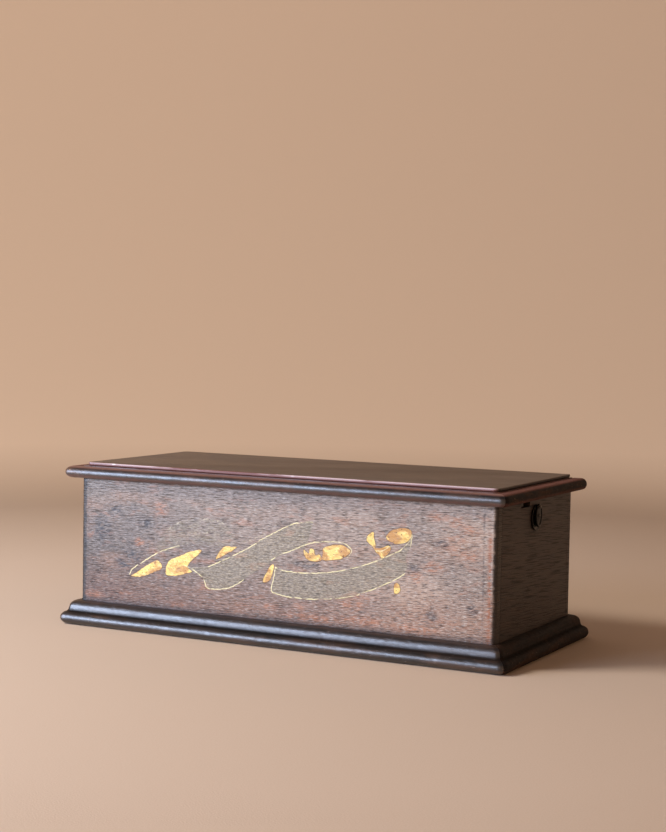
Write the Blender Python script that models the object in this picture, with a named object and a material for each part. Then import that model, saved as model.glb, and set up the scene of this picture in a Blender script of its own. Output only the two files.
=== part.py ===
"""Cylinder musical box in a low rectangular wooden case, closed, standing on its plinth.

Sizes are in millimetres and become metres when a mesh is made. The origin is on the floor under the
middle of the case. +X runs along the front to the right, -Y faces the front and +Z is up.
"""

import math

import bmesh
import bpy
from mathutils import Matrix, Vector

MM = 0.001
GAP = 0.3  # between pieces that touch on the real object

# Case
BODY_WIDTH = 460.0
BODY_DEPTH = 195.0
BOARD = 11.0
CORNER_RADIUS = 4.0
CORNER_EASING = 0.2  # growth of a moulding's corner radius with its reach
PLINTH_HEIGHT = 24.5
PLINTH_REACH = 17.3
BODY_TOP = 150.0
BOARD_FOOT = 1.0
BOTTOM_Z = (6.0, 16.0)
HALF_W = BODY_WIDTH / 2
HALF_D = BODY_DEPTH / 2
INNER_W = HALF_W - BOARD
INNER_D = HALF_D - BOARD
FLOOR_Z = BOTTOM_Z[1] + GAP

# Lid
LID_REACH = 14.2
LID_UNDER = BODY_TOP + GAP
MOULDING_TOP = 163.0
SIDE_MOULDING_BACK = HALF_D + 3.5
PANEL_TOP = 166.2
PANEL_END_INSET = 1.7
PANEL_FRONT_INSET = 4.8
PANEL_CORNER = 6.0

# Lid hinges
HINGE_Y = HALF_D + 3.2
HINGE_Z = BODY_TOP + GAP / 2
HINGE_X = 150.0
HINGE_LENGTH = 42.0
LEAF = 1.2
KNUCKLE_RADIUS = 2.8
KNUCKLE_BORE = 1.45
HINGE_PIN_RADIUS = 1.1
LEAF_REACH = 9.5

# Winding hole, its plate and its drop cover, and the lever notch, on the right end
WINDING_Y = -2.0
WINDING_Z = BODY_TOP - 18.0
WINDING_HOLE = 4.6
PLATE_RADIUS = 12.7
PLATE_THICK = 1.4
COVER_MIDDLE_Z = WINDING_Z + 2.2
COVER_PIVOT_Z = COVER_MIDDLE_Z + 8.0
COVER_SIZE = (7.4, 11.3)
COVER_X = (HALF_W + 2.0, HALF_W + 4.2)
NOTCH_Y = (-40.0, -18.0)
NOTCH_DEPTH = 6.2

# Partitions and inner glass lid
PARTITION = 6.0
PARTITION_X = 162.0
PARTITION_TOP = 147.0
INNER_LID_Z = (139.0, 145.0)
INNER_LID_PIVOT = (82.0, 142.0)
INNER_LID_FRAME = 20.0
INNER_PIN_RADIUS = 1.3
GLASS_THICK = 2.4

# Movement
BED_Z = (30.0, 38.0)
BED_X = (-150.0, 158.0)
BED_Y = (-62.0, 68.0)
SEAT = BED_Z[1] + GAP
CYLINDER_AXIS = (48.0, 70.0)
CYLINDER_RADIUS = 26.5
CYLINDER_HALF = 97.0
BARREL_AXIS = (20.0, 92.0)
BARREL_RADIUS = 25.0
BARREL_X = (107.0, 149.0)
WINDING_AXIS = (WINDING_Y, WINDING_Z)
ARBOR_RADIUS = 3.0
GOVERNOR_DISTANCE = 34.0
GOVERNOR_AXIS = (CYLINDER_AXIS[0] - GOVERNOR_DISTANCE, CYLINDER_AXIS[1])
FLY_X = -118.0
WORM_PITCH_RADIUS = 3.6
FLY_RADIUS = 12.0
ROCKER_AXIS = (-35.0, 24.0)

# Teeth
BARREL_TEETH = 48
CYLINDER_PINION_TEETH = 12
GREAT_TEETH = 56
GOVERNOR_PINION_TEETH = 12
GOVERNOR_TEETH = 40
GOVERNOR_MODULE = 1.0
WORM_STARTS = 2
WINDING_WHEEL_TEETH = 36
WINDING_PINION_TEETH = 12
RATCHET_TEETH = 20
COMB_TEETH = 48

GOVERNOR_PITCH_RADIUS = GOVERNOR_TEETH * GOVERNOR_MODULE / 2
FLY_Y = GOVERNOR_AXIS[0] - GOVERNOR_PITCH_RADIUS - WORM_PITCH_RADIUS

# Finishes: colour, roughness, metallic
FINISHES = {
    "front_veneer": ((0.115, 0.062, 0.045), 0.42, 0.0),
    "ebonised_wood": ((0.022, 0.016, 0.014), 0.30, 0.0),
    "lid_veneer": ((0.085, 0.055, 0.038), 0.40, 0.0),
    "end_wood": ((0.040, 0.022, 0.015), 0.45, 0.0),
    "inner_wood": ((0.160, 0.085, 0.045), 0.60, 0.0),
    "black_iron": ((0.012, 0.012, 0.013), 0.40, 0.8),
    "brass": ((0.600, 0.390, 0.130), 0.28, 1.0),
    "steel": ((0.420, 0.420, 0.430), 0.25, 1.0),
    "bedplate_paint": ((0.170, 0.120, 0.050), 0.45, 0.6),
    "glass": ((0.850, 0.900, 0.880), 0.05, 0.0),
    "card": ((0.620, 0.540, 0.400), 0.90, 0.0),
}
MATERIALS = {}


def clear_scene():
    for item in list(bpy.data.objects):
        bpy.data.objects.remove(item, do_unlink=True)


def make_materials():
    for name, (colour, roughness, metallic) in FINISHES.items():
        material = bpy.data.materials.new(name)
        material.use_nodes = True
        shader = material.node_tree.nodes["Principled BSDF"]
        shader.inputs["Base Color"].default_value = (*colour, 1.0)
        shader.inputs["Roughness"].default_value = roughness
        shader.inputs["Metallic"].default_value = metallic
        if name == "glass":
            shader.inputs["Alpha"].default_value = 0.3
        MATERIALS[name] = material


def pivot_at(name, x, y, z):
    """Empty on a joint's axis, which the moving pieces are parented to."""
    empty = bpy.data.objects.new(name, None)
    empty.location = Vector((x, y, z)) * MM
    empty.empty_display_size = 10 * MM
    bpy.context.scene.collection.objects.link(empty)
    return empty


def add_piece(name, mesh, finish, pivot=None, smooth=False):
    """Turn a bmesh in millimetres into a named object, hung on its pivot if it moves."""
    bmesh.ops.recalc_face_normals(mesh, faces=mesh.faces)
    bmesh.ops.scale(mesh, vec=(MM, MM, MM), verts=mesh.verts)
    if pivot is not None:
        bmesh.ops.translate(mesh, vec=-pivot.location, verts=mesh.verts)
    data = bpy.data.meshes.new(name)
    mesh.to_mesh(data)
    mesh.free()
    piece = bpy.data.objects.new(name, data)
    bpy.context.scene.collection.objects.link(piece)
    if finish is not None:
        data.materials.append(MATERIALS[finish])
    if pivot is not None:
        piece.parent = pivot
    if smooth:
        data.shade_smooth()
        data.set_sharp_from_angle(angle=math.radians(35))
    return piece


def combine(piece, mesh, operation):
    """Cut a bmesh from a piece (DIFFERENCE) or join it on (UNION) with a live Boolean modifier."""
    helper = add_piece(f"{piece.name}_{operation.lower()}_{len(piece.modifiers)}", mesh, None, piece.parent)
    helper.hide_render = True
    helper.display_type = "WIRE"
    modifier = piece.modifiers.new(helper.name, "BOOLEAN")
    modifier.operation = operation
    modifier.solver = "EXACT"
    modifier.object = helper
    return piece


def cut(piece, mesh):
    return combine(piece, mesh, "DIFFERENCE")


def join(piece, mesh):
    return combine(piece, mesh, "UNION")


def block(x, y, z):
    """Box between the low and high values of each axis."""
    mesh = bmesh.new()
    bmesh.ops.create_cube(mesh, size=1.0)
    size = [high - low for low, high in (x, y, z)]
    middle = [(high + low) / 2 for low, high in (x, y, z)]
    bmesh.ops.scale(mesh, vec=size, verts=mesh.verts)
    bmesh.ops.translate(mesh, vec=middle, verts=mesh.verts)
    return mesh


AXIS_FRAMES = {
    "X": Matrix(((0, 0, 1), (1, 0, 0), (0, 1, 0))),  # plane (u, v) is (y, z)
    "Y": Matrix(((1, 0, 0), (0, 0, 1), (0, 1, 0))),  # plane (u, v) is (x, z)
    "Z": Matrix.Identity(3),  # plane (u, v) is (x, y)
}


def prism(axis, span, outline, holes=()):
    """Extrude a flat outline with holes along an axis, from span[0] to span[1]."""
    mesh = bmesh.new()
    frame = AXIS_FRAMES[axis]
    edges = []
    for loop in (outline, *holes):
        corners = [mesh.verts.new(frame @ Vector((u, v, span[0]))) for u, v in loop]
        edges += [mesh.edges.new((corners[i - 1], corners[i])) for i in range(len(corners))]
    bmesh.ops.triangle_fill(mesh, edges=edges, use_beauty=True)
    extruded = bmesh.ops.extrude_face_region(mesh, geom=mesh.faces[:])["geom"]
    moved = [item for item in extruded if isinstance(item, bmesh.types.BMVert)]
    bmesh.ops.translate(mesh, vec=frame @ Vector((0, 0, span[1] - span[0])), verts=moved)
    return mesh


def turned(axis, centre, profile, steps=24):
    """Spin a closed profile of (radius, distance along the axis) about an axis through centre."""
    mesh = bmesh.new()
    frame = AXIS_FRAMES[axis]
    origin = frame @ Vector((centre[0], centre[1], 0))
    ends = [mesh.verts.new(origin + frame @ Vector((radius, 0, along))) for radius, along in profile]
    edges = [mesh.edges.new((ends[i - 1], ends[i])) for i in range(len(ends))]
    on_axis = [e for e in edges if all((v.co - origin).cross(frame.col[2]).length < 1e-6 for v in e.verts)]
    bmesh.ops.delete(mesh, geom=on_axis, context="EDGES")
    bmesh.ops.spin(
        mesh, geom=mesh.verts[:] + mesh.edges[:], cent=origin, axis=frame.col[2],
        angle=math.tau, steps=steps, use_merge=True,
    )
    bmesh.ops.remove_doubles(mesh, verts=mesh.verts, dist=1e-4)
    return mesh


def rod(axis, centre, radius, span, steps=16):
    """Plain solid cylinder."""
    return turned(axis, centre, [(0, span[0]), (radius, span[0]), (radius, span[1]), (0, span[1])], steps)


def sleeve(axis, centre, inner, outer, span, steps=24):
    """Tube with a through bore."""
    profile = [(inner, span[0]), (outer, span[0]), (outer, span[1]), (inner, span[1])]
    return turned(axis, centre, profile, steps)


def polar(centre, radius, angle):
    """Point at a distance and an angle in radians from a centre."""
    return centre[0] + radius * math.cos(angle), centre[1] + radius * math.sin(angle)


def circle(centre, radius, steps=16):
    return [polar(centre, radius, math.tau * i / steps) for i in range(steps)]


def rectangle(u, v):
    return [(u[0], v[0]), (u[1], v[0]), (u[1], v[1]), (u[0], v[1])]


def arc(centre, radius, start, end, steps):
    """Points of an arc in the plane, angles in degrees."""
    return [polar(centre, radius, math.radians(start + (end - start) * i / steps)) for i in range(steps + 1)]


def gear_outline(centre, teeth, module, phase, root_share=1.15, tip_share=0.9, width=0.42):
    """Straight-flanked spur teeth, one of them centred on the angle phase, with running clearance."""
    pitch_radius = teeth * module / 2
    root, tip = pitch_radius - root_share * module, pitch_radius + tip_share * module
    half = width * math.pi / teeth
    slope = 0.34 * module  # how much each flank leans per module of height, a 20 degree flank
    root_half = half + slope * root_share / pitch_radius
    tip_half = half - slope * tip_share / pitch_radius
    outline = []
    for i in range(teeth):
        middle = phase + math.tau * i / teeth
        for radius, angle in ((root, -root_half), (tip, -tip_half), (tip, tip_half), (root, root_half)):
            outline.append(polar(centre, radius, middle + angle))
    return outline


def ratchet_outline(centre, teeth, root, tip):
    """Saw teeth: each rises slowly and drops back along a radius."""
    outline = []
    for i in range(teeth):
        outline.append(polar(centre, root, math.tau * i / teeth))
        outline.append(polar(centre, tip, math.tau * (i + 0.94) / teeth))
    return outline


def direction(start, end):
    return math.atan2(end[1] - start[1], end[0] - start[0])


def meshing_phases(first, second, second_teeth):
    """Angles that put a tooth of the first wheel in the middle of a gap of the second."""
    towards = direction(first, second)
    return towards, towards + math.pi + math.pi / second_teeth


# ---------------------------------------------------------------- case


def corner_centre(corner):
    """Centre of a rounded corner; 0 is front right, and the others follow anticlockwise from above."""
    x, y = HALF_W - CORNER_RADIUS, HALF_D - CORNER_RADIUS
    return ((x, -y), (x, y), (-x, y), (-x, -y))[corner]


SIDE_CORNERS = {"right": (0, 1), "back": (1, 2), "left": (2, 3), "front": (3, 0)}
BACK_CORNERS = (1, 2)


def side_path(reach, side, steps=4):
    """Plan path at a reach outside the body, over one side and half of each of its eased corners."""
    start, end = SIDE_CORNERS[side]
    facing = 90 * start
    radius = CORNER_RADIUS + CORNER_EASING * reach
    shift = reach + CORNER_RADIUS - radius
    corners = [corner_centre(corner) for corner in (start, end)]
    centres = [(x + math.copysign(shift, x), y + math.copysign(shift, y)) for x, y in corners]
    first = arc(centres[0], radius, facing - 45, facing, steps)
    return first + arc(centres[1], radius, facing, facing + 45, steps)


def square_backed_path(reach, side, steps=4):
    """Plan path of the left or right side that runs straight out at the back."""
    path = side_path(reach, side, steps)
    front_half = path[: steps + 1] if side == "right" else path[steps + 1:]
    back_end = [(front_half[0 if side == "left" else -1][0], SIDE_MOULDING_BACK)]
    return front_half + back_end if side == "right" else back_end + front_half


def carried_profile(profile, side, path_at):
    """Closed profile of (reach, height) carried along one side of the body."""
    mesh = bmesh.new()
    rings = [[mesh.verts.new((x, y, height)) for x, y in path_at(reach, side)] for reach, height in profile]
    for low, high in zip(rings[-1:] + rings[:-1], rings):
        for k in range(len(low) - 1):
            mesh.faces.new((low[k], low[k + 1], high[k + 1], high[k]))
    mesh.faces.new([ring[0] for ring in rings])
    mesh.faces.new([ring[-1] for ring in reversed(rings)])
    return mesh


def shorten(mesh, point, normal):
    """Cut off what lies beyond a plane and close the end."""
    geometry = mesh.verts[:] + mesh.edges[:] + mesh.faces[:]
    bmesh.ops.bisect_plane(mesh, geom=geometry, plane_co=point, plane_no=normal, clear_outer=True, dist=1e-5)
    bmesh.ops.holes_fill(mesh, edges=[edge for edge in mesh.edges if edge.is_boundary], sides=0)


def side_moulding(profile, side, square_back=False):
    """Moulding of one side, mitred at its corners with half the fitting gap off each mitre."""
    mesh = carried_profile(profile, side, square_backed_path if square_back else side_path)
    start, end = SIDE_CORNERS[side]
    for corner, turn, outward in ((start, -45, -1), (end, 45, 1)):
        if square_back and corner in BACK_CORNERS:
            continue
        ray = math.radians(90 * start + turn)
        normal = Vector((-math.sin(ray), math.cos(ray), 0)) * outward
        shorten(mesh, Vector((*corner_centre(corner), 0)) - normal * GAP / 2, normal)
    return mesh


def plinth_profile():
    """Fillet, ovolo, small step and torus, from the top of the inner face round to the floor."""
    top = PLINTH_HEIGHT
    fillet = [(GAP, 0.0), (GAP, top), (3.6, top)]
    ovolo = arc((3.4, top - 7.4), 6.9, 82, 8, 3)
    torus_radius = 7.7
    torus = arc((PLINTH_REACH - torus_radius, 8.4), torus_radius, 78, -70, 6)
    return fillet + ovolo + [(10.9, top - 7.9)] + torus + [(PLINTH_REACH - 6.5, 0.0)]


def lid_moulding_profile():
    """Flat top and full round nose."""
    middle = (LID_UNDER + MOULDING_TOP) / 2
    radius = (MOULDING_TOP - LID_UNDER) / 2
    nose = arc((LID_REACH - radius, middle), radius, 90, -90, 8)
    return [(GAP, LID_UNDER), (GAP, MOULDING_TOP)] + nose


def rounded_rectangle(x, y, radii, steps=4):
    """Outline anticlockwise from the front right corner, with one radius for each corner."""
    corners = [
        ((x[1] - radii[0], y[0] + radii[0]), -90, radii[0]),
        ((x[1] - radii[1], y[1] - radii[1]), 0, radii[1]),
        ((x[0] + radii[2], y[1] - radii[2]), 90, radii[2]),
        ((x[0] + radii[3], y[0] + radii[3]), 180, radii[3]),
    ]
    outline = []
    for centre, start, radius in corners:
        outline += arc(centre, radius, start, start + 90, steps) if radius > 0 else [centre]
    return outline


def build_case():
    height = (BOARD_FOOT, BODY_TOP)
    outer = CORNER_RADIUS
    front = rounded_rectangle((-HALF_W, HALF_W), (-HALF_D, -INNER_D), (outer, 0, 0, outer), 3)
    add_piece("front_board", prism("Z", height, front), "front_veneer", smooth=True)
    back = rounded_rectangle((-HALF_W, HALF_W), (INNER_D, HALF_D), (0, outer, outer, 0), 3)
    back_board = add_piece("back_board", prism("Z", height, back), "end_wood", smooth=True)
    for side in (-1, 1):
        cut(back_board, leaf_recess(side, (BODY_TOP - LEAF - 2 * GAP, BODY_TOP + 1)))
    ends = (-INNER_D + GAP, INNER_D - GAP)
    add_piece("left_end_board", block((-HALF_W, -INNER_W), ends, height), "end_wood")
    right = [(ends[0], height[0]), (ends[1], height[0]), (ends[1], height[1])]
    notch_floor = BODY_TOP - NOTCH_DEPTH
    right += [(NOTCH_Y[1], height[1]), (NOTCH_Y[1], notch_floor), (NOTCH_Y[0], notch_floor)]
    right += [(NOTCH_Y[0], height[1]), (ends[0], height[1])]
    bore = circle((WINDING_Y, WINDING_Z), WINDING_HOLE)
    add_piece("right_end_board", prism("X", (INNER_W, HALF_W), right, [bore]), "end_wood")
    inside_x = (-INNER_W + GAP, INNER_W - GAP)
    inside_y = (-INNER_D + GAP, INNER_D - GAP)
    add_piece("bottom_board", block(inside_x, inside_y, BOTTOM_Z), "inner_wood")
    for side in SIDE_CORNERS:
        add_piece(f"plinth_{side}", side_moulding(plinth_profile(), side), "ebonised_wood", smooth=True)


def leaf_recess(side, z):
    middle = side * HINGE_X
    half = HINGE_LENGTH / 2 + GAP
    return block((middle - half, middle + half), (HALF_D - LEAF_REACH - GAP, HALF_D + 1), z)


def build_partitions():
    y = (-INNER_D + GAP, INNER_D - GAP)
    outline = rectangle(y, (FLOOR_Z, PARTITION_TOP))
    pin_hole = circle(INNER_LID_PIVOT, INNER_PIN_RADIUS + GAP, 8)
    left = prism("X", (-PARTITION_X - PARTITION, -PARTITION_X), outline, [pin_hole])
    add_piece("left_partition", left, "inner_wood")
    holes = [
        pin_hole,
        circle(BARREL_AXIS, 6.0, 12),
        circle(WINDING_AXIS, 5.3, 12),
        circle(ROCKER_AXIS, 2.8, 12),
    ]
    right = prism("X", (PARTITION_X, PARTITION_X + PARTITION), outline, holes)
    add_piece("right_partition", right, "inner_wood")
    rest_x, rest_y = (-PARTITION_X + GAP, PARTITION_X - GAP), (-INNER_D + GAP, -INNER_D + 8)
    rest = block(rest_x, rest_y, (128, INNER_LID_Z[0] - GAP))
    add_piece("inner_lid_rest", rest, "inner_wood")


# ---------------------------------------------------------------- lid


def build_lid():
    pivot = pivot_at("lid_axis", 0, HINGE_Y, HINGE_Z)
    corner = CORNER_RADIUS
    outline = rounded_rectangle((-HALF_W, HALF_W), (-HALF_D, HALF_D), (corner, 0, 0, corner))
    lid_board = add_piece("lid_board", prism("Z", (LID_UNDER, MOULDING_TOP), outline), "end_wood", pivot)
    for side in (-1, 1):
        cut(lid_board, leaf_recess(side, (LID_UNDER - 1, LID_UNDER + LEAF + 2 * GAP)))
    profile = lid_moulding_profile()
    add_piece("lid_moulding_front", side_moulding(profile, "front"), "ebonised_wood", pivot, smooth=True)
    for side in ("left", "right"):
        strip = side_moulding(profile, side, square_back=True)
        add_piece(f"lid_moulding_{side}", strip, "ebonised_wood", pivot, smooth=True)
    x = (-HALF_W + PANEL_END_INSET, HALF_W - PANEL_END_INSET)
    y = (-HALF_D + PANEL_FRONT_INSET, HALF_D - 1.0)
    panel = rounded_rectangle(x, y, (PANEL_CORNER, 0, PANEL_CORNER, PANEL_CORNER))
    add_piece("lid_panel", prism("Z", (MOULDING_TOP + GAP, PANEL_TOP), panel), "lid_veneer", pivot)
    card = block((-80, 80), (-45, 45), (LID_UNDER - GAP - 0.8, LID_UNDER - GAP))
    add_piece("tune_card", card, "card", pivot)
    return pivot


def knuckle(middle, span):
    ends = (middle + span[0], middle + span[1])
    return sleeve("X", (HINGE_Y, HINGE_Z), KNUCKLE_BORE, KNUCKLE_RADIUS, ends, 16)


def hinge_leaf(name, middle, z, knuckles, pivot, finish="brass"):
    """Leaf plate with its knuckles; a tab reaches from the plate into the lower or upper half of each."""
    half = HINGE_LENGTH / 2
    plate = block((middle - half, middle + half), (HALF_D - LEAF_REACH, HALF_D - GAP), z)
    leaf = add_piece(name, plate, finish, pivot)
    tab_end = HINGE_Y - KNUCKLE_BORE - 0.5
    for span in knuckles:
        join(leaf, block((middle + span[0], middle + span[1]), (HALF_D - 2.0, tab_end), z))
        join(leaf, knuckle(middle, span))
    return leaf


def build_hinges(lid_pivot):
    half = HINGE_LENGTH / 2
    third = HINGE_LENGTH / 3
    case_knuckles = ((-half, -third / 2 - GAP), (third / 2 + GAP, half))
    lid_knuckles = ((-third / 2, third / 2),)
    for name, side in (("left", -1), ("right", 1)):
        middle = side * HINGE_X
        low = (BODY_TOP - GAP - LEAF, BODY_TOP - GAP)
        high = (LID_UNDER + GAP, LID_UNDER + GAP + LEAF)
        hinge_leaf(f"{name}_hinge_case_leaf", middle, low, case_knuckles, None)
        hinge_leaf(f"{name}_hinge_lid_leaf", middle, high, lid_knuckles, lid_pivot)
        pin = rod("X", (HINGE_Y, HINGE_Z), HINGE_PIN_RADIUS, (middle - half - 0.5, middle + half + 0.5), 12)
        add_piece(f"{name}_hinge_pin", pin, "steel")


def build_inner_lid():
    """Wooden frame with a glass pane, turning on two pins in the partitions."""
    pivot = pivot_at("inner_lid_axis", 0, *INNER_LID_PIVOT)
    x = (-PARTITION_X + 0.8, PARTITION_X - 0.8)
    y = (-INNER_D + 1.0, INNER_LID_PIVOT[0] + 2.6)
    opening_x = (x[0] + INNER_LID_FRAME, x[1] - INNER_LID_FRAME)
    opening_y = (y[0] + INNER_LID_FRAME, y[1] - INNER_LID_FRAME)
    frame = prism("Z", INNER_LID_Z, rectangle(x, y), [rectangle(opening_x, opening_y)])
    inner_frame = add_piece("inner_lid_frame", frame, "inner_wood", pivot)
    for side in (-1, 1):
        span = sorted((side * (PARTITION_X - 4), side * (PARTITION_X + PARTITION - 2)))
        join(inner_frame, rod("X", INNER_LID_PIVOT, INNER_PIN_RADIUS, span, 8))
    pane_x = (opening_x[0] + GAP, opening_x[1] - GAP)
    pane_y = (opening_y[0] + GAP, opening_y[1] - GAP)
    middle = sum(INNER_LID_Z) / 2
    pane = block(pane_x, pane_y, (middle - GLASS_THICK / 2, middle + GLASS_THICK / 2))
    add_piece("inner_lid_glass", pane, "glass", pivot)
    top = INNER_LID_Z[1] + GAP
    knob = [(0, top), (3.5, top), (2.4, top + 1.0), (3.6, top + 2.0), (3.0, top + 3.4), (0, top + 3.8)]
    add_piece("inner_lid_knob", turned("Z", (0, y[0] + 10), knob, 16), "brass", pivot, smooth=True)


# ---------------------------------------------------------------- right end hardware


def build_winding_cover():
    x = (HALF_W + GAP, HALF_W + GAP + PLATE_THICK)
    centre = (WINDING_Y, WINDING_Z)
    pin_hole = circle((WINDING_Y, COVER_PIVOT_Z), 1.3, 8)
    plate = prism("X", x, circle(centre, PLATE_RADIUS, 28), [circle(centre, WINDING_HOLE), pin_hole])
    add_piece("winding_plate", plate, "black_iron", smooth=True)
    pin = [(0, x[0]), (1.0, x[0]), (1.0, COVER_X[1] + GAP), (2.1, COVER_X[1] + GAP)]
    pin += [(1.6, COVER_X[1] + 1.1), (0, COVER_X[1] + 1.3)]
    add_piece("cover_pin", turned("X", (WINDING_Y, COVER_PIVOT_Z), pin, 12), "black_iron")
    pivot = pivot_at("cover_axis", COVER_X[0], WINDING_Y, COVER_PIVOT_Z)
    half_width, half_height = COVER_SIZE
    drop = [
        (WINDING_Y + half_width * math.sin(a), COVER_MIDDLE_Z - half_height * math.cos(a))
        for a in (math.tau * i / 28 for i in range(28))
    ]
    cover = prism("X", COVER_X, drop, [circle((WINDING_Y, COVER_PIVOT_Z), 1.35, 8)])
    piece = add_piece("winding_cover", cover, "black_iron", pivot, smooth=True)
    boss = [(0, COVER_X[1] - 0.6), (1.5, COVER_X[1] - 0.6), (1.5, COVER_X[1] + 0.3), (0, COVER_X[1] + 0.9)]
    join(piece, turned("X", (WINDING_Y, COVER_MIDDLE_Z), boss, 10))


# ---------------------------------------------------------------- movement


def build_bedplate():
    bed = add_piece("bedplate", block(BED_X, BED_Y, BED_Z), "bedplate_paint")
    for x in (BED_X[0] + 14, BED_X[1] - 14):
        for y in (BED_Y[0] + 12, BED_Y[1] - 12):
            join(bed, rod("Z", (x, y), 8.0, (FLOOR_Z, BED_Z[0] + 2), 12))


def bridge(name, x, axis, half, bore, finish="brass"):
    """Upright bearing plate on the bedplate, with a round head and a bore for its arbor."""
    head = arc(axis, half, 0, 180, 8)
    outline = head + [(axis[0] - half, SEAT), (axis[0] + half, SEAT)]
    return add_piece(name, prism("X", x, outline, [circle(axis, bore, 12)]), finish, smooth=True)


def build_cylinder():
    pivot = pivot_at("cylinder_axis", 0, *CYLINDER_AXIS)
    centre = CYLINDER_AXIS
    inner = CYLINDER_RADIUS - 2.0
    ends = (-CYLINDER_HALF, CYLINDER_HALF)
    drum = sleeve("X", centre, inner, CYLINDER_RADIUS, ends, 48)
    add_piece("cylinder_drum", drum, "brass", pivot, smooth=True)
    for name, side in (("left", -1), ("right", 1)):
        near, far = sorted((side * (CYLINDER_HALF - 4.0), side * (CYLINDER_HALF - 0.5)))
        cap = sleeve("X", centre, ARBOR_RADIUS + GAP, inner - GAP, (near, far), 32)
        add_piece(f"cylinder_cap_{name}", cap, "brass", pivot, smooth=True)
    arbor = [(0, -113), (2.0, -113), (2.0, -105.5), (ARBOR_RADIUS, -105.5)]
    arbor += [(ARBOR_RADIUS, 109.2), (2.0, 109.2), (2.0, 117), (0, 117)]
    cylinder_arbor = add_piece("cylinder_arbor", turned("X", centre, arbor, 16), "steel", pivot, smooth=True)
    bore = [circle(centre, ARBOR_RADIUS + GAP, 12)]
    barrel_module = 2 * math.dist(CYLINDER_AXIS, BARREL_AXIS) / (BARREL_TEETH + CYLINDER_PINION_TEETH)
    phase, _ = meshing_phases(CYLINDER_AXIS, BARREL_AXIS, BARREL_TEETH)
    pinion = gear_outline(centre, CYLINDER_PINION_TEETH, barrel_module, phase, width=0.40)
    join(cylinder_arbor, prism("X", (101.8, 107.5), pinion))
    great_module = 2 * GOVERNOR_DISTANCE / (GREAT_TEETH + GOVERNOR_PINION_TEETH)
    _, phase = meshing_phases(GOVERNOR_AXIS, CYLINDER_AXIS, GREAT_TEETH)
    wheel = gear_outline(centre, GREAT_TEETH, great_module, phase)
    spokes = [spoke_hole(centre, 8, GREAT_TEETH * great_module / 2 - 5, i, 5) for i in range(5)]
    add_piece("great_wheel", prism("X", (-101.5, -99.0), wheel, bore + spokes), "brass", pivot)
    bridge("cylinder_bridge_left", (-110.0, -106.0), CYLINDER_AXIS, 7.0, 2.3)
    bridge("cylinder_bridge_right", (110.0, 114.0), CYLINDER_AXIS, 6.0, 2.3)


def spoke_hole(centre, inner, outer, index, count):
    """Window between two spokes of a wheel."""
    half = 180 / count
    middle = 360 * index / count
    outside = arc(centre, outer, middle - half + 10, middle + half - 10, 5)
    inside = arc(centre, inner, middle + half - 20, middle - half + 20, 2)
    return outside + inside


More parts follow.
